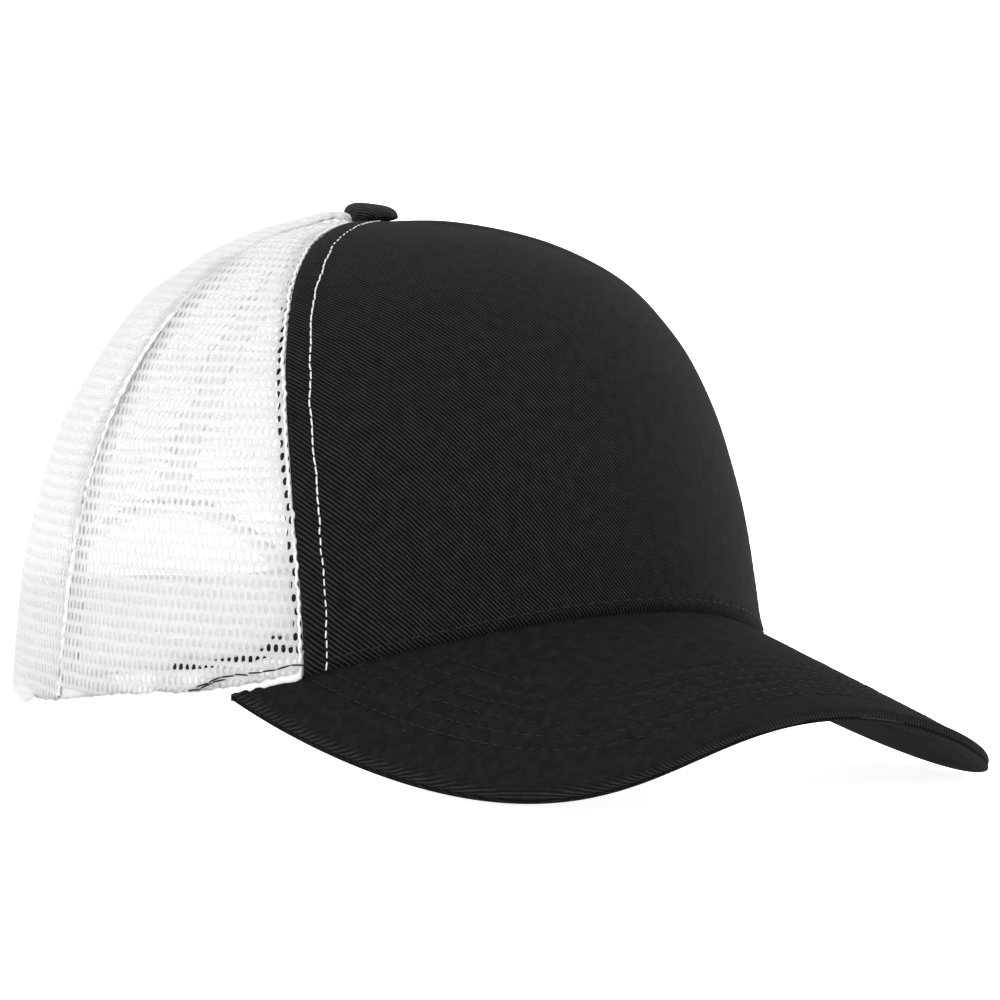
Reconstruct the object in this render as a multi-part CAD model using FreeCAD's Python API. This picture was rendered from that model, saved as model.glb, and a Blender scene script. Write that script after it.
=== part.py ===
"""A five-panel trucker cap: twill front, open mesh sides and back, curved visor, plastic snap closure.

Millimetres, +Z up. The visor points to -Y and the wearer's left is +X. The cap stands on z = 0 as it
stands on a table, on the two low edges of the visor and on the back hem. The origin is the middle of its
footprint.

The crown is one surface, described by two numbers: an angle around the head (0 at the front, 90 on the
wearer's left, 180 at the back) and a lift in degrees (0 at the hem, 90 at the top of the head). Every
fabric layer is a piece of that surface, thickened between two depths below it.
"""
import FreeCAD, Part
import math
import os

Vector = FreeCAD.Vector

# Head opening at the hem: half an ellipse in front, a slightly longer half behind.
HALF_WIDTH = 83.0
HALF_FRONT = 97.0
HALF_BACK = 101.0

# Crown: height of the top, how far it sits behind the widest line, and the profile over the front, the
# side and the back. A profile is (fullness near the top, fullness near the hem, inward lean).
CROWN_HEIGHT = 121.0
APEX_BACK = 9.0
PROFILE_FRONT = (3.6, 3.1, 0.21)
PROFILE_SIDE = (3.2, 2.75, 0.10)
PROFILE_BACK = (2.3, 1.65, 0.04)
TOP_LIFT = 87.5

# Hem: it follows the visor between the ears and comes down to the table at the back.
EAR_ANGLE = 73.0
HEM_FLAT_ANGLE = 142.0
HEM_GAP = 0.2
HEM_DIP = 0.1

# Seams: (angle at the hem, angle at the top, how late the seam turns).
FRONT_SEAM = (53.2, 64.6, 1.57)
SIDE_SEAM = (99.5, 85.0, 3.0)
BACK_SEAM = (180.0, 180.0, 1.0)
SEAM_GAP = 0.15

# Depths of the layers below the crown surface.
TWILL_DEPTH = (0.0, 0.9)
MESH_DEPTH = (0.0, 0.8)
STIFFENER_DEPTH = (1.0, 1.8)
HEM_BINDING_DEPTH = (0.9, 1.5)
TAPE_DEPTH = (1.9, 2.4)
ALLOWANCE_DEPTH = (1.9, 2.4)
PADDING_DEPTH = (2.6, 3.4)
SWEATBAND_DEPTH = (3.5, 4.1)
ARCH_BINDING_DEPTH = (-0.4, 1.4)

# Lifts and widths of the inner pieces.
SWEATBAND_LIFT = 14.5
SWEATBAND_END = 142.0
HEM_BINDING_LIFT = 4.0
HEM_BINDING_END = 144.5
TAPE_WIDTH = 9.0
TAPE_FOOT_LIFT = 4.6
ALLOWANCE_LIFT = 4.2
ALLOWANCE_END = 70.0
FRONT_TAPE_LIFT = 82.0
SIDE_TAPE_LIFT = 58.0
STIFFENER_MARGIN = 4.5
STIFFENER_LIFT = 84.0

# Half-moon opening over the closure.
ARCH_HALF_WIDTH = 42.0
ARCH_HEIGHT = 47.0
ARCH_BINDING_WIDTH = 4.0

# Visor: a flat crescent bent round a cylinder that slopes down to the front.
VISOR_RADIUS = 101.0
VISOR_SLOPE = 14.2
VISOR_LENGTH = 65.3
VISOR_HALF_SPREAD = 82.4
VISOR_WIDEST_BACK = 43.0
VISOR_CORNER = 0.42
VISOR_TAIL_ANGLE = 112
BOARD_THICKNESS = 1.6
COVER_THICKNESS = 0.5
VISOR_THICKNESS = BOARD_THICKNESS + 2 * COVER_THICKNESS
VISOR_SEAM_INSET = 1.9
VISOR_CLEARANCE = 0.12

# Button on the top of the crown.
BUTTON_RADIUS = 6.3
BUTTON_HEIGHT = 4.4
BUTTON_CLOTH = 0.6
TACK_RADIUS = 1.2
TACK_DISC_RADIUS = 5.0
TACK_DISC_THICKNESS = 0.8

# Snap closure: two plastic bands on one vertical cylinder, the band with holes outside the one with pegs.
STRAP_CENTRE_Y = 30.5
STRAP_THICKNESS = 1.2
HOLE_STRAP_RADIUS = 67.1
PEG_STRAP_RADIUS = 65.3
STRAP_BOTTOM = 2.5
STRAP_HEIGHT = 18.0
STRAP_END_ANGLE = 23.5
HINGE_ANGLE = 32.0
HINGE_GAP = 0.6
TAB_GAP = 1.2
TAB_END_ANGLE = 41.5
PEG_PITCH_ANGLE = 7.7
PEG_COUNT = 7
PEG_RADIUS = 1.6
PEG_HEAD_RADIUS = 2.0
PEG_HEAD_HEIGHT = 1.0
PEG_TIP_RADIUS = 68.1
HOLE_RADIUS = 2.6

# Grid of each thickened layer.
COLUMNS = 12
ROWS = 14


def blend(front, side, back, angle):
    """Value between the front, side and back ones for an angle round the head."""
    share = math.cos(math.radians(angle)) ** 2
    end = front if abs(angle) < 90 else back
    return side + (end - side) * share


def opening_point(angle, inset=0.0):
    """Plan position of the hem line."""
    half = HALF_FRONT if abs(angle) < 90 else HALF_BACK
    turn = math.radians(angle)
    return (HALF_WIDTH - inset) * math.sin(turn), -(half - inset) * math.cos(turn)


def visor_drop(x, y, below=0.0):
    """How far the visor surface, or one below it, lies under the middle of the visor seam."""
    reach = -(y + HALF_FRONT) / math.cos(math.radians(VISOR_SLOPE))
    radius = VISOR_RADIUS - below
    return reach * math.sin(math.radians(VISOR_SLOPE)) + VISOR_RADIUS - math.sqrt(radius ** 2 - x ** 2)


def visor_outline(inset=0.0):
    """Plan points of the visor's outer edge, from one tail inside the crown to the other."""
    points = []
    spread = VISOR_HALF_SPREAD - inset
    length = VISOR_LENGTH + VISOR_WIDEST_BACK - inset
    for step in range(-28, 29):
        turn = math.radians(VISOR_TAIL_ANGLE * step / 28.0)
        side = math.copysign(abs(math.sin(turn)) ** VISOR_CORNER, turn)
        reach = length * math.cos(turn) - VISOR_WIDEST_BACK
        x = VISOR_RADIUS * math.sin(spread * side / VISOR_RADIUS)
        y = -HALF_FRONT - reach * math.cos(math.radians(VISOR_SLOPE))
        points.append((x, y))
    return points


VISOR_SEAM_Z = max(visor_drop(x, y, VISOR_THICKNESS) for x, y in visor_outline())
EAR_Z = VISOR_SEAM_Z - visor_drop(*opening_point(EAR_ANGLE))


def hem_height(angle):
    """Height of the hem line over the table."""
    turn = abs(angle)
    if turn < EAR_ANGLE:
        return VISOR_SEAM_Z - visor_drop(*opening_point(angle)) + HEM_GAP
    share = min((turn - EAR_ANGLE) / (HEM_FLAT_ANGLE - EAR_ANGLE), 1.0)
    return (EAR_Z + HEM_GAP + HEM_DIP) * (1 - share ** 2 * (3 - 2 * share)) - HEM_DIP


def profile(angle, lift):
    """Radius share and height share of the crown at a lift, by bisection along the ray of that lift."""
    top, low, lean = [blend(*shares, angle) for shares in zip(PROFILE_FRONT, PROFILE_SIDE, PROFILE_BACK)]
    turn = math.radians(lift)
    near = 0.5
    far = 1.5
    for _ in range(40):
        middle = (near + far) / 2
        if (middle * abs(math.sin(turn))) ** top + (middle * math.cos(turn)) ** low < 1:
            near = middle
        else:
            far = middle
    rise = near * math.sin(turn)
    return near * math.cos(turn) * (1 - lean * rise), rise


def crown_point(angle, lift):
    """Point of the crown's outer surface."""
    share, rise = profile(angle, lift)
    x, y = opening_point(angle)
    z = hem_height(angle)
    return Vector(x * share, APEX_BACK + (y - APEX_BACK) * share, z + (CROWN_HEIGHT - z) * rise)


def layer_point(angle, lift, depth):
    """Point at a depth under the crown surface, along its normal."""
    step = 0.4
    along = crown_point(angle + step, lift) - crown_point(angle - step, lift)
    upward = crown_point(angle, lift + step) - crown_point(angle, lift - step)
    normal = along.cross(upward).normalize()
    return crown_point(angle, lift) - normal * depth


def seam_angle(seam, lift, side):
    """Angle of a seam at a lift. side is -1 for the wearer's right and 1 for the left."""
    base, top, power = seam
    angle = base
    for _ in range(4):
        rise = profile(angle, lift)[1]
        angle = base + (top - base) * rise ** power
    return side * angle


def beside(angle, lift, distance):
    """The angle that lies a distance in millimetres further round the crown at this lift."""
    step = 1.0
    width = (crown_point(angle + step, lift) - crown_point(angle, lift)).Length
    return angle + distance * step / width


def closed_solid(faces):
    """One solid from the faces that bound it."""
    shell = Part.makeShell(faces)
    shell.sewShape()
    solid = Part.Solid(shell)
    if solid.Volume < 0:
        solid.reverse()
    return solid


def layer(start, end, lifts, depths, columns=COLUMNS, rows=ROWS):
    """Thickened piece of the crown. start and end give the two edges' angles at a lift."""
    surfaces = []
    for depth in depths:
        grid = []
        for row in range(rows + 1):
            lift = lifts[0] + (lifts[1] - lifts[0]) * row / rows
            left = start(lift)
            right = end(lift)
            grid.append([layer_point(left + (right - left) * column / columns, lift, depth)
                         for column in range(columns + 1)])
        surface = Part.BSplineSurface()
        surface.interpolate(grid)
        surfaces.append(surface)
    outer, inner = surfaces
    faces = [outer.toShape(), inner.toShape()]
    low_u, high_u, low_v, high_v = outer.bounds()
    in_low_u, in_high_u, in_low_v, in_high_v = inner.bounds()
    rims = [(outer.uIso(low_u), inner.uIso(in_low_u)),
            (outer.uIso(high_u), inner.uIso(in_high_u)),
            (outer.vIso(low_v), inner.vIso(in_low_v)),
            (outer.vIso(high_v), inner.vIso(in_high_v))]
    for outer_rim, inner_rim in rims:
        faces.append(Part.makeRuledSurface(outer_rim.toShape(), inner_rim.toShape()))
    return closed_solid(faces)


def panel(seam_a, side_a, seam_b, side_b, lifts, depths, margin=SEAM_GAP):
    """Layer between two seams, kept a margin clear of both."""
    return layer(lambda lift: beside(seam_angle(seam_a, lift, side_a), lift, margin),
                 lambda lift: beside(seam_angle(seam_b, lift, side_b), lift, -margin),
                 lifts, depths)


def seam_tape(seam, side, top):
    """Narrow tape that covers a seam on the inside."""
    half = TAPE_WIDTH / 2
    return layer(lambda lift: beside(seam_angle(seam, lift, side), lift, -half),
                 lambda lift: beside(seam_angle(seam, lift, side), lift, half),
                 (TAPE_FOOT_LIFT, top), TAPE_DEPTH, 4, 12)


def ellipse_face(centre, half_x, half_other, other):
    """Flat elliptical face with one half axis along X and the other along the given direction."""
    across = centre + Vector(half_x, 0, 0)
    along = centre + other * half_other
    if half_other > half_x:
        ellipse = Part.Ellipse(along, across, centre)
    else:
        ellipse = Part.Ellipse(across, along, centre)
    return Part.Face(Part.Wire([ellipse.toShape()]))


def arch_prism(grow):
    """Half-moon prism through the back of the crown, grown all round by a distance."""
    face = ellipse_face(Vector(0, 150, 0), ARCH_HALF_WIDTH + grow, ARCH_HEIGHT + grow, Vector(0, 0, 1))
    return face.extrude(Vector(0, -110, 0))


def mesh_back():
    """Rear mesh panel of the wearer's left, with its half of the half-moon cut away."""
    whole = panel(SIDE_SEAM, 1, BACK_SEAM, 1, (0, TOP_LIFT), MESH_DEPTH)
    return above_table(whole.cut(arch_prism(ARCH_BINDING_WIDTH)))


def above_table(shape):
    """The shape without what would reach under the table."""
    floor = Part.makeBox(400, 400, 50, Vector(-200, -200, -50))
    return shape.cut(floor)


def mirrored(shape):
    """The same shape on the other side of the cap."""
    return shape.mirror(Vector(0, 0, 0), Vector(1, 0, 0))


def arch_binding():
    """Bound edge of the half-moon opening."""
    wide = layer(lambda lift: 138.0, lambda lift: 222.0, (-1.0, 40), ARCH_BINDING_DEPTH, 16, 8)
    return above_table(wide.cut(arch_prism(0)).common(arch_prism(ARCH_BINDING_WIDTH - SEAM_GAP)))


def hem_binding():
    """White fold inside the mesh hem, from the front seam to the half-moon."""
    return layer(lambda lift: beside(seam_angle(FRONT_SEAM, lift, 1), lift, SEAM_GAP),
                 lambda lift: HEM_BINDING_END, (0.2, HEM_BINDING_LIFT), HEM_BINDING_DEPTH, 16, 3)


def visor_slab(top, bottom):
    """Bent slab between two depths below the visor's upper surface, wider than the visor."""
    half_turn = math.radians(62)
    slope = math.radians(VISOR_SLOPE)
    edges = []
    for depth in (top, bottom):
        radius = VISOR_RADIUS - depth
        points = [Vector(radius * math.sin(turn), 0, radius * math.cos(turn) - VISOR_RADIUS)
                  for turn in (-half_turn, 0, half_turn)]
        edges.append(Part.Arc(*points).toShape())
    ends = [Part.makeLine(edges[0].Vertexes[side].Point, edges[1].Vertexes[side].Point) for side in (0, 1)]
    section = Part.Face(Part.Wire(Part.__sortEdges__([edges[0], ends[1], edges[1], ends[0]])))
    section.translate(Vector(0, -HALF_FRONT, VISOR_SEAM_Z))
    backward = 110.0
    forward = 90.0
    direction = Vector(0, -math.cos(slope), -math.sin(slope))
    section.translate(direction * -backward)
    return section.extrude(direction * (backward + forward))


def visor_prism(inset):
    """Upright prism of the visor's plan: the outer edge, closed along the head opening."""
    outline = visor_outline(inset)
    curve = Part.BSplineCurve()
    curve.interpolate([Vector(x, y, -30) for x, y in outline])
    chord = Part.makeLine(Vector(*outline[-1], -30), Vector(*outline[0], -30))
    outer = Part.Face(Part.Wire([curve.toShape(), chord])).extrude(Vector(0, 0, 110))
    head = ellipse_face(Vector(0, 0, -31), HALF_WIDTH - VISOR_SEAM_INSET, HALF_FRONT - VISOR_SEAM_INSET,
                        Vector(0, 1, 0)).extrude(Vector(0, 0, 112))
    prism = outer.cut(head)
    return max(prism.Solids, key=lambda solid: solid.Volume)


def visor_parts():
    """Board, the upper cover that wraps its edge, and the under cover."""
    board_bottom = COVER_THICKNESS + BOARD_THICKNESS
    whole = visor_slab(0, VISOR_THICKNESS).common(visor_prism(0))
    board = visor_slab(COVER_THICKNESS, board_bottom).common(visor_prism(COVER_THICKNESS))
    under = visor_slab(board_bottom, VISOR_THICKNESS).common(visor_prism(COVER_THICKNESS))
    return board, whole.cut(board).cut(under), under


def clear_of_visor(shape):
    """The shape cut back to a small clearance over the visor."""
    slab = visor_slab(-VISOR_CLEARANCE, VISOR_THICKNESS + VISOR_CLEARANCE)
    return shape.cut(slab.common(visor_prism(-VISOR_CLEARANCE)))


def revolve(outline, centre):
    """Solid of revolution of (radius, height) points about a vertical axis."""
    points = [Vector(centre.x + radius, centre.y, centre.z + height) for radius, height in outline]
    wire = Part.makePolygon(points + points[:1])
    return Part.Face(wire).revolve(centre, Vector(0, 0, 1), 360)


def dome_outline(radius, height, foot, steps=8):
    """Half outline of a button: a dome, a rounded rim and a foot that turns in below."""
    middle = height * 0.42
    dome = [(radius * math.sin(turn), middle + (height - middle) * math.cos(turn))
            for turn in [math.pi / 2 * step / steps for step in range(steps + 1)]]
    under = [(foot + (radius - foot) * math.cos(turn), middle - middle * math.sin(turn))
             for turn in [math.pi / 2 * step / steps for step in range(1, steps + 1)]]
    return dome + under


def button_parts():
    """Pressed metal core, the twill that covers it, and the tack that holds it through the crown."""
    seat = Vector(0, APEX_BACK, CROWN_HEIGHT + HEM_GAP)
    outside = revolve(dome_outline(BUTTON_RADIUS, BUTTON_HEIGHT, 3.0) + [(0, 0)], seat)
    lift = Vector(0, 0, BUTTON_CLOTH)
    inside_height = BUTTON_HEIGHT - 2 * BUTTON_CLOTH
    inside = revolve(dome_outline(BUTTON_RADIUS - BUTTON_CLOTH, inside_height, 3.0) + [(0, 0)], seat + lift)
    socket = Part.makeCylinder(TACK_RADIUS + 0.1, 2.2, seat - lift)
    disc_z = CROWN_HEIGHT - TAPE_DEPTH[1] - 0.3 - TACK_DISC_THICKNESS
    disc = Part.makeCylinder(TACK_DISC_RADIUS, TACK_DISC_THICKNESS, Vector(0, APEX_BACK, disc_z))
    post = Part.makeCylinder(TACK_RADIUS, seat.z + 1.5 - disc_z, Vector(0, APEX_BACK, disc_z))
    return inside.cut(socket), outside.cut(inside).cut(socket), disc.fuse(post).removeSplitter()


def closure_point(radius, angle, z):
    """Point on a cylinder of the closure. The angle is 0 at the middle of the back, positive to +X."""
    turn = math.radians(angle)
    return Vector(radius * math.sin(turn), STRAP_CENTRE_Y + radius * math.cos(turn), z)


def band(radius, start, end):
    """Upright curved band of one strap, between two angles. radius is its outer face."""
    low, high = min(start, end), max(start, end)
    middle = (low + high) / 2
    base = STRAP_BOTTOM
    inner = radius - STRAP_THICKNESS
    edges = [Part.Arc(*[closure_point(face, turn, base) for turn in (low, middle, high)]).toShape()
             for face in (radius, inner)]
    ends = [Part.makeLine(closure_point(radius, turn, base), closure_point(inner, turn, base))
            for turn in (low, high)]
    face = Part.Face(Part.Wire(Part.__sortEdges__([edges[0], ends[0], edges[1], ends[1]])))
    return face.extrude(Vector(0, 0, STRAP_HEIGHT))


def rounded_end(shape, radius, angle, side):
    """The band with its free end rounded, as seen from behind the cap."""
    half = STRAP_HEIGHT / 2
    middle = STRAP_BOTTOM + half
    corner_turn = math.degrees(half / radius)
    axis_angle = angle - side * corner_turn
    direction = closure_point(1, axis_angle, 0) - closure_point(0, axis_angle, 0)
    start = closure_point(radius - 8, axis_angle, middle)
    keep = Part.makeCylinder(half, 16, start, direction)
    body = band(radius, axis_angle, -side * HINGE_ANGLE * 2)
    return shape.common(keep.fuse(body))


def studs(shape_radius, from_radius, to_radius, angles):
    """Row of short radial cylinders at half the strap's height."""
    z = STRAP_BOTTOM + STRAP_HEIGHT / 2
    row = []
    for angle in angles:
        start = closure_point(from_radius, angle, z)
        end = closure_point(to_radius, angle, z)
        row.append(Part.makeCylinder(shape_radius, to_radius - from_radius, start, end - start))
    return row


def row_angles(side):
    """Angles of one strap's pegs or holes: six that meet the other strap's, and one nearer its own tab."""
    first = -PEG_PITCH_ANGLE * (PEG_COUNT - 2) / 2
    return [side * (first + PEG_PITCH_ANGLE * place) for place in range(-1, PEG_COUNT - 1)]


def hinge_angle(radius, distance):
    """Angle at a distance in millimetres along the band from the hinge, positive away from the strap."""
    return HINGE_ANGLE + math.degrees(distance / radius)


def peg_strap():
    """Band with pegs, sewn on the wearer's right."""
    start = -hinge_angle(PEG_STRAP_RADIUS, -HINGE_GAP)
    strap = band(PEG_STRAP_RADIUS, start, STRAP_END_ANGLE)
    strap = rounded_end(strap, PEG_STRAP_RADIUS, STRAP_END_ANGLE, 1)
    angles = row_angles(1)
    stem_start = PEG_STRAP_RADIUS - STRAP_THICKNESS / 2
    stem_end = PEG_TIP_RADIUS - PEG_HEAD_HEIGHT / 2
    stems = studs(PEG_RADIUS, stem_start, stem_end, angles)
    heads = studs(PEG_HEAD_RADIUS, PEG_TIP_RADIUS - PEG_HEAD_HEIGHT, PEG_TIP_RADIUS, angles)
    return strap.fuse(stems + heads).removeSplitter()


def hole_strap():
    """Band with holes, sewn on the wearer's left, outside the pegs' band."""
    start = hinge_angle(HOLE_STRAP_RADIUS, -HINGE_GAP)
    strap = band(HOLE_STRAP_RADIUS, start, -STRAP_END_ANGLE)
    strap = rounded_end(strap, HOLE_STRAP_RADIUS, -STRAP_END_ANGLE, -1)
    holes = studs(HOLE_RADIUS, HOLE_STRAP_RADIUS - 3, HOLE_STRAP_RADIUS + 3, row_angles(-1))
    for hole in holes:
        strap = strap.cut(hole)
    return strap


def strap_tab(radius, side):
    """Flange of a strap, sewn inside the hem beside the half-moon."""
    return band(radius, side * hinge_angle(radius, TAB_GAP), side * TAB_END_ANGLE)


def visor_allowance():
    """Visor cloth turned up inside the crown along the visor seam."""
    return layer(lambda lift: -ALLOWANCE_END, lambda lift: ALLOWANCE_END,
                 (0.4, ALLOWANCE_LIFT), ALLOWANCE_DEPTH, 24, 3)


def sweatband_layer(depths):
    """Band round the inside of the hem, open behind the closure."""
    return layer(lambda lift: -SWEATBAND_END, lambda lift: SWEATBAND_END,
                 (0.6, SWEATBAND_LIFT), depths, 40, 5)


def build():
    """Every piece of the cap, by name, still centred on the head opening."""
    parts = {}
    front = panel(FRONT_SEAM, -1, FRONT_SEAM, 1, (0, TOP_LIFT), TWILL_DEPTH)
    stiffener = panel(FRONT_SEAM, -1, FRONT_SEAM, 1, (0.4, STIFFENER_LIFT), STIFFENER_DEPTH,
                      STIFFENER_MARGIN)
    parts["front_panel"] = clear_of_visor(front)
    parts["front_stiffener"] = clear_of_visor(stiffener)
    side = clear_of_visor(panel(FRONT_SEAM, 1, SIDE_SEAM, 1, (0, TOP_LIFT), MESH_DEPTH))
    back = mesh_back()
    front_tape = seam_tape(FRONT_SEAM, 1, FRONT_TAPE_LIFT)
    side_tape = seam_tape(SIDE_SEAM, 1, SIDE_TAPE_LIFT)
    binding = clear_of_visor(hem_binding())
    for name, shape in (("mesh_side", side), ("mesh_back", back), ("seam_tape_front", front_tape),
                        ("seam_tape_side", side_tape), ("hem_binding", binding)):
        parts[name + "_left"] = shape
        parts[name + "_right"] = mirrored(shape)
    tape = seam_tape(BACK_SEAM, 1, FRONT_TAPE_LIFT)
    parts["seam_tape_back"] = tape.cut(arch_prism(ARCH_BINDING_WIDTH))
    parts["arch_binding"] = arch_binding()
    parts["visor_seam_allowance"] = visor_allowance()
    parts["sweatband_padding"] = sweatband_layer(PADDING_DEPTH)
    parts["sweatband"] = sweatband_layer(SWEATBAND_DEPTH)
    parts["visor_board"], parts["visor_top_cover"], parts["visor_under_cover"] = visor_parts()
    parts["button_core"], parts["button_cover"], parts["button_tack"] = button_parts()
    parts["peg_strap"] = peg_strap()
    parts["peg_strap_tab"] = strap_tab(PEG_STRAP_RADIUS, -1)
    parts["hole_strap"] = hole_strap()
    parts["hole_strap_tab"] = strap_tab(HOLE_STRAP_RADIUS, 1)
    return parts


def main():
    """Centre the cap over its footprint and write one file for each piece."""
    os.makedirs("parts", exist_ok=True)
    front_edge = min(y for x, y in visor_outline())
    back_edge = closure_point(PEG_TIP_RADIUS, PEG_PITCH_ANGLE / 2, 0).y
    centring = Vector(0, -(front_edge + back_edge) / 2, 0)
    parts = build()
    for name, shape in parts.items():
        shape.translate(centring)
        shape.exportStep("parts/" + name + ".step")
        box = shape.optimalBoundingBox()
        print("%-20s %d solid(s) %s volume %8.1f  x %.1f..%.1f  y %.1f..%.1f  z %.1f..%.1f" % (
            name, len(shape.Solids), shape.isValid(), shape.Volume, box.XMin, box.XMax, box.YMin, box.YMax,
            box.ZMin, box.ZMax))
    print("moved by y %.3f, visor seam at z %.3f" % (centring.y, VISOR_SEAM_Z))


main()
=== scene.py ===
"""Looks of a five-panel trucker cap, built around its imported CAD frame.

The crown, the visor and the seams follow the same formulas as the CAD part, in millimetres. The crown is
described by an angle round the head (0 at the front, 90 on the wearer's left, 180 at the back) and a lift
in degrees (0 at the hem, 90 at the top). Meshes are turned into metres when they are made.
"""

import math

import bpy
import numpy as np
from mathutils import Matrix, Vector


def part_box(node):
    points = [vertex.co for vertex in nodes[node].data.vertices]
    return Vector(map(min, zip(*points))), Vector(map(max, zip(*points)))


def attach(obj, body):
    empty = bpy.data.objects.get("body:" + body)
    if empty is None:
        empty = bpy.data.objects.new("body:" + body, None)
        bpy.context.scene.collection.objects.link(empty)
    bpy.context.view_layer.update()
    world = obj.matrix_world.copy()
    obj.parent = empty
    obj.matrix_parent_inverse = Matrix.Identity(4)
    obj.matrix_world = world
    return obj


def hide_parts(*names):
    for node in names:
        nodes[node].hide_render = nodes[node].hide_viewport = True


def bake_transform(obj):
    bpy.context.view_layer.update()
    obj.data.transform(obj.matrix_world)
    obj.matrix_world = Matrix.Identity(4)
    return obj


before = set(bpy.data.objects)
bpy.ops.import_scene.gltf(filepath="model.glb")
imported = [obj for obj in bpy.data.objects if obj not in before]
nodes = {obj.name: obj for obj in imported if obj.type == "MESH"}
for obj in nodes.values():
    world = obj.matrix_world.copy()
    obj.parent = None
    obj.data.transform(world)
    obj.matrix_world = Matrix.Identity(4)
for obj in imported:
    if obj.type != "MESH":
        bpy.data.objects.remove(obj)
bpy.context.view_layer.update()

MM = 0.001


def box_mm(node):
    """Lowest and highest corner of a CAD node in millimetres."""
    low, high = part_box(node)
    return np.array(low) / MM, np.array(high) / MM


def unit(vectors):
    """The vectors with a length of 1."""
    return vectors / np.linalg.norm(vectors, axis=-1, keepdims=True)


def walked(path):
    """Distance walked along a path at each of its points."""
    return np.cumsum(np.linalg.norm(np.diff(path, axis=0, prepend=path[:1]), axis=-1))


def bell(distance, width):
    """1 on a line, falling to 0 over a width beside it."""
    return np.exp(-(distance / width) ** 2)


def smooth(value, low, high):
    """0 below one value, 1 above the other, smooth between."""
    share = np.clip((value - low) / (high - low), 0, 1)
    return share ** 2 * (3 - 2 * share)


def keep_above(points, floor):
    """Raises the points that lie below a height."""
    points[..., 2] = np.maximum(points[..., 2], floor)


def fullness(distance, rim):
    """Share of the full thickness at a distance from the border of a sheet with a rounded rim."""
    return np.sqrt(1 - (1 - np.clip(distance / rim, 0, 1)) ** 2)


# ---------------------------------------------------------------- sizes, in millimetres and degrees
HALF_WIDTH = box_mm("mesh_side_left")[1][0]
HALF_FRONT = 97.0
HALF_BACK = 101.0
CROWN_HEIGHT = 121.0
APEX_BACK = 9.0
CENTRE_Y = (box_mm("button_core")[0][1] + box_mm("button_core")[1][1]) / 2 - APEX_BACK
PROFILE_FRONT = (3.6, 3.1, 0.21)
PROFILE_SIDE = (3.2, 2.75, 0.10)
PROFILE_BACK = (2.3, 1.65, 0.04)
TOP_LIFT = 87.5
EAR_ANGLE = 73.0
HEM_FLAT_ANGLE = 142.0
HEM_GAP = 0.2
HEM_DIP = 0.1
FRONT_SEAM = (53.2, 64.6, 1.57)
SIDE_SEAM = (99.5, 85.0, 3.0)
BACK_SEAM = (180.0, 180.0, 1.0)
SEAM_GAP = 0.15

VISOR_RADIUS = 101.0
VISOR_SLOPE = math.radians(14.2)
VISOR_LENGTH = 65.3
VISOR_HALF_SPREAD = 82.4
VISOR_WIDEST_BACK = 43.0
VISOR_CORNER = 0.42
VISOR_END_TURN = math.radians(112)
VISOR_THICKNESS = 2.6
VISOR_SEAM_INSET = 1.9
VISOR_EDGE = 1.35
VISOR_ROWS = (11.0, 15.0, 19.0, 23.0, 27.0, 31.4)

ARCH_HALF_WIDTH = 42.0
ARCH_HEIGHT = 47.0
ARCH_BINDING_WIDTH = 4.0

NET_PITCH = 1.82
NET_ROW = 2.87
NET_HOLE = (0.57, 0.96)
NET_HALF_THICKNESS = 0.24
NET_DEPTH = 0.4
NET_JITTER = 0.035
HOLE_JITTER = 0.03
HOLE_ROUNDNESS = 0.85
NET_MARGIN = 8.0

TOPSTITCH_INSET = 6.0
HEM_STITCH_HEIGHT = 3.0

TAPE_HALF_WIDTH = 4.5
TAPE_DEPTH = (1.9, 2.4)
TAPE_STITCH_OFFSETS = (-3.2, 3.2)
TAPE_STITCH_DEPTH = 2.45
SWEATBAND_LIFTS = (0.8, 14.5)
SWEATBAND_END = 142.0
PADDING_END = 141.5
ALLOWANCE_END = 70.0

# The closure's straps bend where they meet their tabs.
STRAP_CENTRE_Y = CENTRE_Y + 30.5
STRAP_END_TURN = math.radians(32.0)

SIDES = (("left", False), ("right", True))


# ---------------------------------------------------------------- the crown's surface
def mixed(values, angle):
    """Value between the front, side and back ones for an angle round the head."""
    front, side, back = values
    share = np.cos(np.radians(angle)) ** 2
    return side + (np.where(np.abs(angle) < 90, front, back) - side) * share


def profile_powers(angle):
    """The two powers and the lean of the crown's profile at an angle."""
    return [mixed(values, angle) for values in zip(PROFILE_FRONT, PROFILE_SIDE, PROFILE_BACK)]


def opening(angle):
    """Plan position of the hem line."""
    turn = np.radians(angle)
    half = np.where(np.abs(angle) < 90, HALF_FRONT, HALF_BACK)
    return HALF_WIDTH * np.sin(turn), -half * np.cos(turn)


def visor_drop(x, y, below=0.0):
    """How far the visor surface, or one below it, lies under the middle of the visor seam."""
    reach = -(y + HALF_FRONT) / math.cos(VISOR_SLOPE)
    return reach * math.sin(VISOR_SLOPE) + VISOR_RADIUS - np.sqrt((VISOR_RADIUS - below) ** 2 - x ** 2)


def visor_flat(turn, inset):
    """Position on the unrolled visor: along the bend and forwards. turn is 0 at the middle of the front."""
    side = np.sign(turn) * np.abs(np.sin(turn)) ** VISOR_CORNER
    along = (VISOR_HALF_SPREAD - inset) * side
    reach = (VISOR_LENGTH + VISOR_WIDEST_BACK - inset) * np.cos(turn) - VISOR_WIDEST_BACK
    return along, reach


def visor_plan(along, reach):
    """Plan position of a point of the unrolled visor."""
    return VISOR_RADIUS * np.sin(along / VISOR_RADIUS), -HALF_FRONT - reach * math.cos(VISOR_SLOPE)


outline = visor_plan(*visor_flat(np.linspace(-VISOR_END_TURN, VISOR_END_TURN, 57), 0.0))
SEAM_Z = visor_drop(*outline, VISOR_THICKNESS).max()


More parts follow.
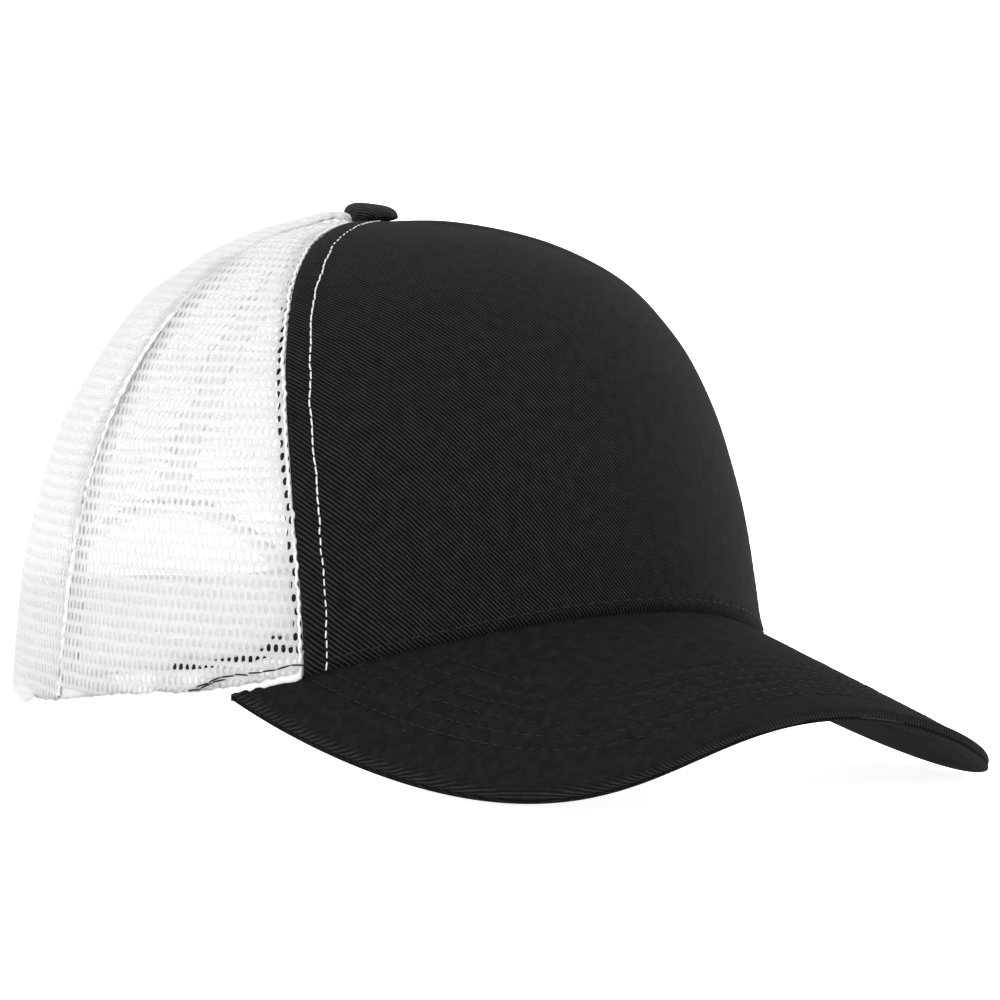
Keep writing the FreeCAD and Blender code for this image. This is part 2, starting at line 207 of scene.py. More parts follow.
def hem_height(angle):
    """Height of the hem line over the table."""
    turn = np.abs(angle)
    x, y = opening(np.minimum(turn, EAR_ANGLE))
    front = SEAM_Z - visor_drop(x, y) + HEM_GAP
    share = np.clip((turn - EAR_ANGLE) / (HEM_FLAT_ANGLE - EAR_ANGLE), 0, 1)
    return (front + HEM_DIP) * (1 - share ** 2 * (3 - 2 * share)) - HEM_DIP


def profile(angle, lift):
    """Radius share and height share of the crown at a lift, by bisection along the ray of that lift."""
    angle, lift = np.broadcast_arrays(angle, lift)
    top, low, lean = profile_powers(angle)
    turn = np.radians(lift)
    rise = np.abs(np.sin(turn))
    reach = np.abs(np.cos(turn))
    near = np.full(angle.shape, 0.5)
    far = np.full(angle.shape, 1.5)
    for _ in range(36):
        middle = (near + far) / 2
        inside = (middle * rise) ** top + (middle * reach) ** low < 1
        near = np.where(inside, middle, near)
        far = np.where(inside, far, middle)
    height = near * np.sin(turn)
    return near * np.cos(turn) * (1 - lean * height), height


def at_height(angle, height):
    """Lift and radius share of the crown's points at a height over the table."""
    foot = hem_height(angle)
    rise = np.clip((height - foot) / (CROWN_HEIGHT - foot), 0.0, 0.99999)
    top, low, lean = profile_powers(angle)
    reach = (1 - rise ** top) ** (1 / low)
    return np.degrees(np.arctan2(rise, reach)), reach * (1 - lean * rise)


def crown_exact(angle, lift):
    """Point of the crown's outer surface."""
    share, rise = profile(angle, lift)
    x, y = opening(angle)
    z = hem_height(angle)
    return np.stack([x * share, CENTRE_Y + APEX_BACK + (y - APEX_BACK) * share,
                     z + (CROWN_HEIGHT - z) * rise], -1)


# The crown is looked up in a fine table, because the meshes ask for many thousands of points.
STEP = 0.5
ANGLES = np.arange(-230.0, 230.01, STEP)
LIFTS = np.arange(-3.0, 90.01, STEP)
STEADY_LIFT = 88.4
HEM_CURL = 5.0
HEM_RAISE = 2.8
HEM_SAG = 1.2
PLACES = crown_exact(ANGLES[:, None], LIFTS[None, :])


def settled(places):
    """The soft shape of the cloth: the hem sags at the sides and curls in at the back corners."""
    turn = np.abs((ANGLES + 180) % 360 - 180)[:, None]
    height = places[..., 2] - hem_height(ANGLES)[:, None]
    curl = smooth(turn, 104, 118) * (1 - smooth(turn, 134, 148)) * np.clip(1 - height / 9, 0, 1.2) ** 2
    raised = smooth(turn, 100, 116) * (1 - smooth(turn, 140, 164)) * np.clip(1 - height / 11, 0, 1.2) ** 2
    sag = bell(turn - 88, 13) * np.clip(1 - height / 18, 0, 1.1)
    inward = np.stack([-np.sin(np.radians(ANGLES)), np.cos(np.radians(ANGLES)), 0 * ANGLES], -1)[:, None]
    change = inward * (HEM_CURL * curl)[..., None]
    change[..., 2] += HEM_RAISE * raised - HEM_SAG * sag
    return places + change


PLACES = settled(PLACES)
NORMALS = np.cross(np.gradient(PLACES, axis=0), np.gradient(PLACES, axis=1))
NORMALS /= np.linalg.norm(NORMALS, axis=-1, keepdims=True) + 1e-12
NORMALS[:, LIFTS > STEADY_LIFT] = NORMALS[:, LIFTS <= STEADY_LIFT][:, -1:]


def crown(angle, lift, depth=0.0):
    """Points at a depth under the crown's surface. Negative depths lie outside it."""
    angle, lift = np.broadcast_arrays(np.asarray(angle, float), np.asarray(lift, float))
    across = np.clip((angle - ANGLES[0]) / STEP, 0, len(ANGLES) - 1.001)
    up = np.clip((lift - LIFTS[0]) / STEP, 0, len(LIFTS) - 1.001)
    a, b = across.astype(int), up.astype(int)
    s, t = (across - a)[..., None], (up - b)[..., None]
    found = []
    for table in (PLACES, NORMALS):
        low = table[a, b] * (1 - s) + table[a + 1, b] * s
        high = table[a, b + 1] * (1 - s) + table[a + 1, b + 1] * s
        found.append(low * (1 - t) + high * t)
    place, normal = found
    return place - unit(normal) * np.asarray(depth)[..., None]


def crown_normal(angle, lift):
    """Outward direction of the crown's surface."""
    return crown(angle, lift, -1.0) - crown(angle, lift, 0.0)


def seam_angle(seam, lift):
    """Angle of a seam on the wearer's left, at a lift."""
    base, top, power = seam
    angle = np.full(np.shape(lift), float(base))
    for _ in range(4):
        rise = np.clip(profile(angle, np.maximum(lift, 0.0))[1], 0, 1)
        angle = base + (top - base) * rise ** power
    return angle


def beside(angle, lift, distance):
    """The angle that lies a distance in millimetres further round the crown at this lift."""
    width = np.linalg.norm(crown(angle + 1.0, lift) - crown(angle, lift), axis=-1)
    return angle + distance / width


def lift_at(angle, height):
    """Lift of the points that lie a height in millimetres above the hem, measured on the cloth."""
    angle, height = np.broadcast_arrays(np.asarray(angle, float), np.asarray(height, float))
    result = height / 1.5
    for _ in range(6):
        length = np.linalg.norm(crown(angle, result) - crown(angle, 0.0), axis=-1) * np.sign(result)
        result = result + (height - length) / 2.0
    return result


class Patch:
    """Piece of the crown between two edges, measured in millimetres across and up the cloth."""

    def __init__(self, start, end, lifts, level=False):
        """start and end give the edges' angles at a lift. A level patch has rows at one height over the
        table; otherwise each row keeps one lift."""
        share = np.linspace(0, 1, 101)
        middle = len(share) // 2
        lift = np.linspace(*lifts, 150)[:, None] * np.ones(len(share))
        height = crown((start(lift[:, 0]) + end(lift[:, 0])) / 2, lift[:, 0])[:, 2][:, None]
        for _ in range(8 if level else 1):
            low, high = start(lift[:, 0]), end(lift[:, -1])
            angle = low[:, None] + (high - low)[:, None] * share
            if level:
                lift, _ = at_height(angle, height)
        self.raw = height - hem_height(angle)
        place = crown(angle, lift)
        self.across = np.array([walked(row) for row in place])
        self.width = self.across[:, -1]
        self.centre = self.across[:, middle]
        self.up = walked(place[:, middle])
        self.height = self.up[-1]
        self.angle, self.lift = angle, lift

    def table(self, values, steps):
        """Values of every row at regular distances from the middle line, held at the edges."""
        return np.array([np.interp(steps, across - centre, row)
                         for across, centre, row in zip(self.across, self.centre, values)])

    def lookup(self, u, v, *fields):
        """Fields at a distance across from the middle line and a distance up."""
        reach = max(self.centre.max(), (self.width - self.centre).max()) + 2
        steps = np.arange(-reach, reach + 0.5, 0.5)
        row = np.clip(np.interp(v, self.up, np.arange(len(self.up))), 0, len(self.up) - 1.001)
        column = np.clip((u - steps[0]) / 0.5, 0, len(steps) - 1.001)
        a, b = row.astype(int), column.astype(int)
        s, t = row - a, column - b
        found = []
        for values in fields:
            table = self.table(values, steps)
            low = table[a, b] * (1 - t) + table[a, b + 1] * t
            high = table[a + 1, b] * (1 - t) + table[a + 1, b + 1] * t
            found.append(low * (1 - s) + high * s)
        return found

    def edges(self, v):
        """Distance of the two edges from the middle line, at a distance up."""
        return (np.interp(v, self.up, -self.centre), np.interp(v, self.up, self.width - self.centre))

    def grid(self, pitch_across, pitch_up, rim):
        """Angle, lift, distance from the left edge and up, and width, on a grid that is finer at its rim."""
        heights = spaced(self.height, self.height, pitch_up, rim)
        rows = []
        widest = self.width.max()
        for v in heights:
            place = np.interp(v, self.up, np.arange(len(self.up)))
            a = min(int(place), len(self.up) - 2)
            t = place - a
            width = self.width[a] * (1 - t) + self.width[a + 1] * t
            u = spaced(width, widest, pitch_across, rim)
            pair = []
            for values in (self.angle, self.lift):
                low = np.interp(u / width, self.across[a] / self.width[a], values[a])
                high = np.interp(u / width, self.across[a + 1] / self.width[a + 1], values[a + 1])
                pair.append(low * (1 - t) + high * t)
            rows.append((pair[0], pair[1], u, np.full(len(u), v), np.full(len(u), width)))
        return [np.array(field) for field in zip(*rows)]


def spaced(length, longest, pitch, rim):
    """Distances from 0 to a length: close together within the rim at both ends, even between."""
    near = np.array([0.0, 0.08, 0.3, 0.65]) * min(rim, length / 4)
    start = min(rim, length / 4)
    count = max(int((longest - 2 * rim) / pitch), 2)
    between = np.linspace(start, length - start, count + 1)
    return np.concatenate([near, between, length - near[::-1]])


def wobble(points, scale, seed, waves=6):
    """Smooth uneven value between about -1 and 1 over the points."""
    rng = np.random.default_rng(seed)
    total = np.zeros(points.shape[:-1])
    for _ in range(waves):
        direction = unit(rng.normal(size=3))
        length = scale * rng.uniform(0.7, 1.5)
        total += np.sin(points @ direction * (2 * math.pi / length) + rng.uniform(0, 6.28))
    return total / math.sqrt(waves)


def swelled(points):
    """Points of the net on the wearer's right, where it stands a little higher beside the button."""
    x, y = points[..., 0], points[..., 1] - CENTRE_Y - APEX_BACK
    away, turn = np.hypot(x, y), np.degrees(np.arctan2(-x, -y))
    rise = 2.3 * bell(away - 9, 10) * smooth(turn, 70, 92) * smooth(-x, 0, 5) * smooth(away, 3, 7)
    return points + np.stack([0 * x, 0 * x, rise], -1)


# ---------------------------------------------------------------- meshes
def add_mesh(name, points, faces, material, uv=None, relief=None):
    """Mesh object from points in millimetres and a list of index arrays. Points in no face are left out."""
    used, packed = np.unique(np.concatenate([group.ravel() for group in faces]), return_inverse=True)
    packed = np.split(packed.ravel(), np.cumsum([group.size for group in faces])[:-1])
    flat = [face for part, group in zip(packed, faces) for face in part.reshape(group.shape).tolist()]
    mesh = bpy.data.meshes.new(name)
    mesh.from_pydata((points[used] * MM).tolist(), [], flat)
    mesh.polygons.foreach_set("use_smooth", np.ones(len(flat), bool))
    if uv is not None:
        loops = np.empty(len(mesh.loops), np.int32)
        mesh.loops.foreach_get("vertex_index", loops)
        layer = mesh.uv_layers.new(name="UVMap")
        layer.data.foreach_set("uv", np.asarray(uv[used], np.float32)[loops].ravel())
    if relief is not None:
        attribute = mesh.attributes.new("relief", "FLOAT", "POINT")
        attribute.data.foreach_set("value", np.asarray(relief[used], np.float32))
    mesh.materials.append(material)
    mesh.update()
    thing = bpy.data.objects.new(name, mesh)
    bpy.context.scene.collection.objects.link(thing)
    return thing


def on_cap(piece, node=None):
    """The piece rides on the cap, and stands for a plain node if one is named."""
    if node:
        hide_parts(node)
    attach(piece, "cap")


def grid_faces(index):
    """Quads between neighbouring entries of a grid of vertex numbers."""
    return np.stack([index[:-1, :-1], index[:-1, 1:], index[1:, 1:], index[1:, :-1]], -1).reshape(-1, 4)


def outward(points, faces):
    """The faces, turned round if they enclose a negative volume."""
    total = 0.0
    for group in faces:
        for k in range(1, group.shape[1] - 1):
            a, b, c = points[group[:, 0]], points[group[:, k]], points[group[:, k + 1]]
            total += np.einsum("ij,ij->i", a, np.cross(b, c)).sum()
    return faces if total > 0 else [group[:, ::-1] for group in faces]


def shell(name, outer, inner, material, uv, mirror=False, relief=None):
    """Closed sheet from an outer and an inner grid of points that meet along their border."""
    rows, columns = outer.shape[:2]
    outside = np.arange(rows * columns).reshape(rows, columns)
    inside = outside + rows * columns
    for part in (np.s_[0, :], np.s_[-1, :], np.s_[:, 0], np.s_[:, -1]):
        inside[part] = outside[part]
    points = np.concatenate([outer.reshape(-1, 3), inner.reshape(-1, 3)])
    if mirror:
        points = points * (-1, 1, 1)
    faces = outward(points, [np.concatenate([grid_faces(outside), grid_faces(inside)[:, ::-1]])])
    spread = np.concatenate([uv.reshape(-1, 2)] * 2)
    if relief is not None:
        relief = np.concatenate([relief.ravel()] * 2)
    return add_mesh(name, points, faces, material, spread, relief)


def closed_ring(grid):
    """Faces of a strip: stations along it, points round its section, and a fan from a centre at each end."""
    stations, count = grid.shape[:2]
    index = np.arange(stations * count).reshape(stations, count)
    ring = np.concatenate([index, index[:, :1]], 1)
    groups = [grid_faces(ring)]
    for row, middle, flip in ((ring[0], stations * count, 1), (ring[-1], stations * count + 1, -1)):
        fan = np.stack([row[1:], row[:-1], np.full(count, middle)], 1)
        groups.append(fan[:, ::flip])
    return groups


def ring_mesh(name, parts, material, mirror=False):
    """Mesh of closed strips. Each part is a grid of points: stations along it, points round its section."""
    points, faces, uv, first = [], [], [], 0
    for grid in parts:
        flat = np.concatenate([grid.reshape(-1, 3), np.stack([grid[0].mean(0), grid[-1].mean(0)])])
        length, around = walked(grid.mean(1)), walked(grid[0])
        spread = np.stack(np.broadcast_arrays(length[:, None], around[None]), -1).reshape(-1, 2)
        groups = outward(flat, closed_ring(grid))
        if mirror:
            flat = flat * (-1, 1, 1)
            groups = [group[:, ::-1] for group in groups]
        points.append(flat)
        uv.append(np.concatenate([spread, spread[:1], spread[-1:]]))
        faces += [group + first for group in groups]
        first += len(flat)
    return add_mesh(name, np.concatenate(points), faces, material, np.concatenate(uv))


def swept(path, normals, section):
    """Grid of points of a section of (sideways, outwards) pairs, carried along a path."""
    tangent = unit(np.gradient(path, axis=0))
    side = unit(np.cross(tangent, normals))
    out = np.cross(side, tangent)
    section = np.broadcast_to(section, (len(path), *section.shape[-2:]))
    return path[:, None] + side[:, None] * section[..., :1] + out[:, None] * section[..., 1:]


def round_section(half_width, half_height, count=10, power=1.0):
    """Rounded section as (sideways, outwards) pairs."""
    turn = np.linspace(0, 2 * math.pi, count, endpoint=False)
    shape = [np.sign(f(turn)) * np.abs(f(turn)) ** power for f in (np.cos, np.sin)]
    return np.stack([half_width * shape[0], half_height * shape[1]], -1)


def resample(path, values, spacing):
    """Path and its values at even distances."""
    length = walked(path)
    steps = np.arange(0, length[-1], spacing)

    def pick(data):
        return np.stack([np.interp(steps, length, column) for column in data.T], -1)

    return pick(path), pick(values)


def stitches(path, normals, pitch, radius, gap=0.7, rise=0.6, seed=0, slant=0.0):
    """Points and faces of a row of stitches: each thread comes up, lies on the cloth and goes down."""
    rng = np.random.default_rng(seed)
    spots, outs = resample(path, normals, pitch)
    if len(spots) < 2:
        return np.zeros((0, 3)), []
    start, end = spots[:-1], spots[1:]
    out = unit(outs[:-1] + outs[1:])
    along = end - start
    length = np.linalg.norm(along, axis=1, keepdims=True)
    along = along / length
    side = np.cross(along, out)
    shift = rng.normal(size=(len(start), 1)) * radius * 0.25
    lean = side * (slant + rng.normal(size=(len(start), 1)) * 0.05)
    begin = start + along * gap / 2 + side * shift
    reach = length - gap
    share = np.array([0.0, 0.07, 0.2, 0.4, 0.6, 0.8, 0.93, 1.0])
    height = radius * (np.array([-1.5, -0.3, 0.45, 0.75, 0.75, 0.45, -0.3, -1.5]) + rise - 0.6)
    thick = radius * np.array([0.5, 0.8, 1.0, 1.05, 1.05, 1.0, 0.8, 0.5])
    turn = np.linspace(0, 2 * math.pi, 7)[:-1]
    centre = (begin[:, None] + (along * reach)[:, None] * share[:, None]
              + (lean * reach)[:, None] * (share[:, None] - 0.5) + out[:, None] * height[:, None])
    ring = (side[:, None, None] * np.cos(turn)[:, None] + out[:, None, None] * np.sin(turn)[:, None])
    points = centre[:, :, None] + ring * thick[:, None, None]
    count, rings, sides = points.shape[:3]
    index = np.arange(count * rings * sides).reshape(count, rings, sides)
    wrap = np.concatenate([index, index[:, :, :1]], 2)
    quads = np.stack([wrap[:, :-1, :-1], wrap[:, 1:, :-1], wrap[:, 1:, 1:], wrap[:, :-1, 1:]], -1)
    caps = [index[:, 0, :], index[:, -1, ::-1]]
    return points.reshape(-1, 3), [quads.reshape(-1, 4)] + [cap.reshape(-1, sides) for cap in caps]


# ---------------------------------------------------------------- materials
class Look:
    """A material and short ways to add nodes to it."""

    def __init__(self, name, color=(0.8, 0.8, 0.8), roughness=0.8, **sockets):
        self.material = bpy.data.materials.new(name)
        self.material.use_nodes = True
        self.tree = self.material.node_tree
        self.surface = self.tree.nodes["Principled BSDF"]
        self.surface.inputs["Base Color"].default_value = (*color, 1)
        self.surface.inputs["Roughness"].default_value = roughness
        self.coordinate = self.tree.nodes.new("ShaderNodeTexCoord")
        for key, value in sockets.items():
            self.surface.inputs[key.replace("_", " ")].default_value = value

    def link(self, source, target):
        self.tree.links.new(source, target)

    def feed(self, socket, value):
        """Gives a socket a number, or links it to another socket."""
        if isinstance(value, (int, float)):
            socket.default_value = value
        else:
            self.link(value, socket)

    def math(self, operation, *values, clamp=False):
        node = self.tree.nodes.new("ShaderNodeMath")
        node.operation = operation
        node.use_clamp = clamp
        for socket, value in zip(node.inputs, values):
            self.feed(socket, value)
        return node.outputs[0]

    def plus(self, first, second):
        return self.math("ADD", first, second)

    def minus(self, first, second, clamp=False):
        return self.math("SUBTRACT", first, second, clamp=clamp)

    def times(self, *values):
        """Product of two or more values."""
        result = values[0]
        for value in values[1:]:
            result = self.math("MULTIPLY", result, value)
        return result

    def texture(self, kind, output, scale, vector=None, **settings):
        """Output of a texture in millimetres over the object, or over a given vector."""
        node = self.tree.nodes.new("ShaderNodeTex" + kind)
        self.link(self.millimetres() if vector is None else vector, node.inputs["Vector"])
        node.inputs["Scale"].default_value = scale
        for key, value in settings.items():
            node.inputs[key].default_value = value
        return node.outputs[output]

    def noise(self, scale, vector=None, **settings):
        return self.texture("Noise", "Fac", scale, vector, **settings)

    def millimetres(self):
        """The point's place on the object in millimetres."""
        node = self.tree.nodes.new("ShaderNodeVectorMath")
        node.operation = "SCALE"
        node.inputs["Scale"].default_value = 1000.0
        self.link(self.coordinate.outputs["Object"], node.inputs[0])
        return node.outputs[0]

    def cloth(self):
        """The two measures along the cloth in millimetres."""
        node = self.tree.nodes.new("ShaderNodeSeparateXYZ")
        self.link(self.coordinate.outputs["UV"], node.inputs[0])
        return node.outputs[0], node.outputs[1]

    def combine(self, x, y, z=0.0):
        node = self.tree.nodes.new("ShaderNodeCombineXYZ")
        for socket, value in zip(node.inputs, (x, y, z)):
            self.feed(socket, value)
        return node.outputs[0]

    def attribute(self, name):
        node = self.tree.nodes.new("ShaderNodeAttribute")
        node.attribute_name = name
        return node.outputs["Fac"]

    def ramp(self, value, stops):
        """Colour from a value. stops are (position, grey or colour)."""
        node = self.tree.nodes.new("ShaderNodeValToRGB")
        while len(node.color_ramp.elements) < len(stops):
            node.color_ramp.elements.new(0.5)
        for element, (position, color) in zip(node.color_ramp.elements, stops):
            element.position = position
            color = (color,) * 3 if isinstance(color, (int, float)) else color
            element.color = (*color, 1)
        self.link(value, node.inputs["Fac"])
        return node.outputs["Color"]

    def mix(self, share, first, grey):
        """Colour between a socket's colour and a grey."""
        node = self.tree.nodes.new("ShaderNodeMix")
        node.data_type = "RGBA"
        factor, color, other = node.inputs[0], node.inputs[6], node.inputs[7]
        self.link(share, factor)
        self.link(first, color)
        other.default_value = (grey, grey, grey, 1)
        return node.outputs[2]

    def color(self, source):
        self.link(source, self.surface.inputs["Base Color"])

    def bump(self, height, distance, strength=1.0):
        """Surface relief. distance is in millimetres for a height of 1."""
        node = self.tree.nodes.new("ShaderNodeBump")
        node.inputs["Strength"].default_value = strength
        node.inputs["Distance"].default_value = distance * MM
        self.link(height, node.inputs["Height"])
        self.link(node.outputs[0], self.surface.inputs["Normal"])


def twill_look(name, dark, light, bends=(0.0, 0.0, 0.0, 0.0), ridges=(1.18, 0.90), specks=0.0,
               pressed=False, sheen=0.0):
    """Black cotton twill: fine slanting ridges of small yarn beads, with fuzz. ridges are the number of
    ridges per millimetre across and up the cloth. bends tell how the grain turns on a panel sewn to shape.
    On pressed cloth the ridges are flatter, as the mesh's relief value says."""
    look = Look(name, roughness=0.9, Specular_IOR_Level=0.05, Sheen_Weight=sheen, Sheen_Roughness=0.45)
    u, v = look.cloth()
    flow = look.noise(0.12, look.combine(u, v), Detail=2.0)
    across = look.plus(look.times(u, ridges[0]), look.times(v, ridges[1]))
    across = look.plus(across, look.times(look.minus(flow, 0.5), 1.1))
    for bend, factors in zip(bends, ((u, v), (v, v), (u, u, u), (u, v, v))):
        if bend:
            across = look.plus(across, look.times(*factors, bend))
    along = look.minus(look.times(u, 1.1), look.times(v, 1.45))
    ridge = look.times(look.math("PINGPONG", across, 0.5), 2.0)
    offset = look.times(look.math("FLOOR", across), 0.5)
    bead = look.math("PINGPONG", look.plus(along, offset), 0.5)
    fuzz = look.noise(3.6, look.combine(u, v), Detail=3.0, Roughness=0.7)
    wear = look.noise(0.35, look.combine(u, v), Detail=3.0, Roughness=0.6)
    height = look.plus(ridge, look.times(bead, 0.35))
    if pressed:
        height = look.plus(look.times(look.minus(height, 0.6), look.attribute("relief")), 0.6)
    height = look.plus(height, look.times(fuzz, 0.45))
    tone = look.plus(height, look.times(look.minus(wear, 0.5), 0.5))
    tone = look.minus(tone, 0.38, clamp=True)
    stripes = look.ramp(tone, [(0.0, dark), (0.40, dark * 1.5), (1.0, light)])
    if specks:
        spots = look.texture("Voronoi", "Distance", 0.085, look.combine(u, v), Randomness=1.0)
        lint = look.math("LESS_THAN", spots, 0.014)
        stripes = look.mix(look.times(lint, 0.5), stripes, specks)
    look.color(stripes)
    look.bump(height, 0.12)
    return look.material


def weave_look(name, low, high, pitch=0.55, roughness=0.85, relief=0.07):
    """Plain woven cloth over the object's own measures."""
    look = Look(name, roughness=roughness, Specular_IOR_Level=0.25)
    u, v = look.cloth()
    first = look.math("SINE", look.times(u, 2 * math.pi / pitch))
    second = look.math("SINE", look.times(v, 2 * math.pi / pitch))
    checks = look.times(first, second)
    fuzz = look.noise(2.4, look.combine(u, v), Detail=3.0)
    height = look.plus(look.times(checks, 0.3), fuzz)
    look.color(look.ramp(height, [(0.2, low), (0.8, high)]))
    look.bump(height, relief)
    return look.material


def fibre_look(name, low, high, scale=1.6, roughness=0.8, relief=0.05, specular=0.3):
    """Thread, net or felt: fine uneven fibres."""
    look = Look(name, roughness=roughness, Specular_IOR_Level=specular)
    noise = look.noise(scale, Detail=4.0, Roughness=0.65)
    look.color(look.ramp(noise, [(0.3, low), (0.7, high)]))
    look.bump(noise, relief)
    return look.material


def net_look(name):
    """Knitted white polyester strands, which let some light through."""
    look = Look(name, roughness=0.75, Specular_IOR_Level=0.2)
    noise = look.noise(2.2, Detail=4.0, Roughness=0.65)
    look.color(look.ramp(noise, [(0.3, 0.72), (0.7, 0.80)]))
    look.bump(noise, 0.04)
    through = look.tree.nodes.new("ShaderNodeBsdfTranslucent")
    through.inputs["Color"].default_value = (0.88, 0.88, 0.88, 1)
    both = look.tree.nodes.new("ShaderNodeMixShader")
    both.inputs["Fac"].default_value = 0.55
    look.link(look.surface.outputs[0], both.inputs[1])
    look.link(through.outputs[0], both.inputs[2])
    look.link(both.outputs[0], look.tree.nodes["Material Output"].inputs["Surface"])
    return look.material


def plastic_look(name, color, roughness):
    """Satin moulded plastic with a faint uneven gloss."""
    look = Look(name, color, roughness, Specular_IOR_Level=0.5)
    cloud = look.noise(0.08, Detail=2.0)
    look.color(look.ramp(cloud, [(0.3, tuple(c * 0.95 for c in color)), (0.7, color)]))
    look.bump(look.noise(5.0, Detail=2.0), 0.012)
    return look.material


def metal_look(name):
    """Pressed plain metal."""
    look = Look(name, (0.62, 0.61, 0.58), 0.38, Metallic=1.0)
    scratch = look.noise(1.3, Detail=4.0)
    look.color(look.ramp(scratch, [(0.3, (0.5, 0.49, 0.46)), (0.7, (0.68, 0.67, 0.64))]))
    look.bump(scratch, 0.02)
    return look.material


FRONT_TWILL = twill_look("front_twill", 0.0022, 0.034, (0.0015, -0.0028, -0.00003, -0.00004), sheen=0.02)
VISOR_TWILL = twill_look("visor_twill", 0.0046, 0.0295, ridges=(1.10, 0.53), specks=0.15, pressed=True)
# Painted shade: the under cloth is a darker copy of the visor twill, standing in for the shade under the
# visor.
UNDER_TWILL_PAINTED_SHADE = twill_look("under_twill_painted_shade", 0.0035, 0.020, ridges=(1.10, 0.53), pressed=True)
# Painted light: the button's twill is a brighter copy of the front twill, standing in for the light on the
# button's top.
BUTTON_TWILL_PAINTED_LIGHT = twill_look("button_twill_painted_light", 0.0080, 0.075, sheen=0.02)
WHITE_NET = net_look("white_net")
WHITE_HEM = fibre_look("white_hem", 0.66, 0.78, 1.5, 0.85, 0.10)
WHITE_TAPE = weave_look("white_tape", 0.62, 0.74)
BLACK_TAPE = weave_look("black_tape", 0.010, 0.028)
BUCKRAM = weave_look("buckram", 0.80, 0.90, 1.5, 0.8, 0.14)
PADDING = fibre_look("padding", 0.86, 0.93, 0.9, 0.95, 0.18)
COTTON = weave_look("sweatband_cotton", 0.82, 0.91, 0.7, 0.9, 0.08)
WHITE_THREAD = fibre_look("white_thread", 0.58, 0.72, 3.0, 0.6, 0.03)
BLACK_THREAD = fibre_look("black_thread", 0.005, 0.018, 3.0, 0.6, 0.03, 0.15)
GREY_THREAD = fibre_look("visor_thread", 0.006, 0.020, 3.0, 0.6, 0.03, 0.15)
PLASTIC = plastic_look("closure_plastic", (0.58, 0.58, 0.575), 0.28)
BOARD = plastic_look("visor_plastic", (0.012, 0.012, 0.013), 0.5)
METAL = metal_look("button_metal")


# ---------------------------------------------------------------- front panel
patches = {}


def crown_band(name, start, end, lifts, depths, material, pitch=(1.5, 1.5), rim=0.5, relief=None,
               mirror=False, low_piece=False):
    """Sheet that lies on the crown between two depths, with a rounded rim. relief changes the two depths."""
    patch = patches[name] = Patch(start, end, lifts)
    angle, lift, u, v, width = patch.grid(*pitch, rim)
    edge = np.minimum(np.minimum(u, width - u), np.minimum(v, patch.height - v))
    middle, half = sum(depths) / 2, (depths[1] - depths[0]) / 2 * fullness(edge, rim)
    outside, inside = middle - half, middle + half
    if relief:
        place = crown(angle, lift)
        change_out, change_in = relief(u, v, width, patch.height, place)
        outside = outside + change_out
        inside = inside + change_in
    outer, inner = crown(angle, lift, outside), crown(angle, lift, inside)
    if low_piece:
        for face in (outer, inner):
            keep_above(face, 0.02)
    uv = np.stack([u - width / 2, v], -1)
    return shell(name, outer, inner, material, uv, mirror)


def front_relief(u, v, width, height, place):
    """Rolled edges, the seam allowances under the cloth, and the pull of the two rows of stitches."""
    edge = np.minimum(u, width - u)
    roll = 1.1 * (1 - fullness(edge, 1.3)) + 2.6 * (1 - fullness(v, 3.0))
    top_fade = np.clip((height - v) / 12, 0, 1)
    groove = 0.22 * bell(edge - TOPSTITCH_INSET, 0.5) * top_fade + 0.20 * bell(v - HEM_STITCH_HEIGHT, 0.5)
    allowance = 0.30 * (edge < 40) / (1 + np.exp((edge - TOPSTITCH_INSET - 1.2) / 0.5)) * top_fade
    hem_fold = 0.28 / (1 + np.exp((v - HEM_STITCH_HEIGHT - 1.4) / 0.5))
    pucker = 0.05 * np.sin(v * 2 * math.pi / 3.1) * bell(edge - TOPSTITCH_INSET, 2.2) * top_fade
    pucker = pucker + 0.06 * np.sin(u * 2 * math.pi / 3.1) * bell(v - HEM_STITCH_HEIGHT, 2.0)
    soft = 0.28 * wobble(place, 70, 5) + 0.10 * wobble(place, 22, 6)
    fade = np.clip(np.minimum(edge, np.minimum(v, height - v)) / 8, 0, 1)
    crease = 0.9 * bell(width - u - 16, 5.2) * smooth(v, 70, 95) * (1 - smooth(v, height - 22, height - 4))
    change = groove - allowance - hem_fold + pucker + soft * fade - crease
    return change + roll, change * 0.6 + roll


def beside_seam(seam, distance, side=1, uneven=0.0):
    """Function for the angle of a line beside a seam at a lift. side is -1 on the wearer's right."""
    def angle(lift):
        ragged = uneven * np.sin(lift * 1.9) * np.sin(lift * 0.7)
        return side * beside(seam_angle(seam, lift), lift, distance + ragged)
    return angle


def steady(angle):
    """Function that gives the same angle at every lift."""
    def same(lift):
        return np.full(np.shape(lift), angle)
    return same


front = crown_band("front_panel_cloth", beside_seam(FRONT_SEAM, -SEAM_GAP, -1),
                   beside_seam(FRONT_SEAM, -SEAM_GAP), (0.0, TOP_LIFT + 1.0), (0.0, 0.8), FRONT_TWILL,
                   (0.75, 0.75), 0.5, front_relief)
on_cap(front, "front_panel")

stiffener = crown_band("stiffener_buckram", beside_seam(FRONT_SEAM, -TAPE_HALF_WIDTH, -1),
                       beside_seam(FRONT_SEAM, -TAPE_HALF_WIDTH), (1.9, 84.0), (1.05, 1.7), BUCKRAM,
                       (1.6, 1.6), 0.4)
on_cap(stiffener, "front_stiffener")


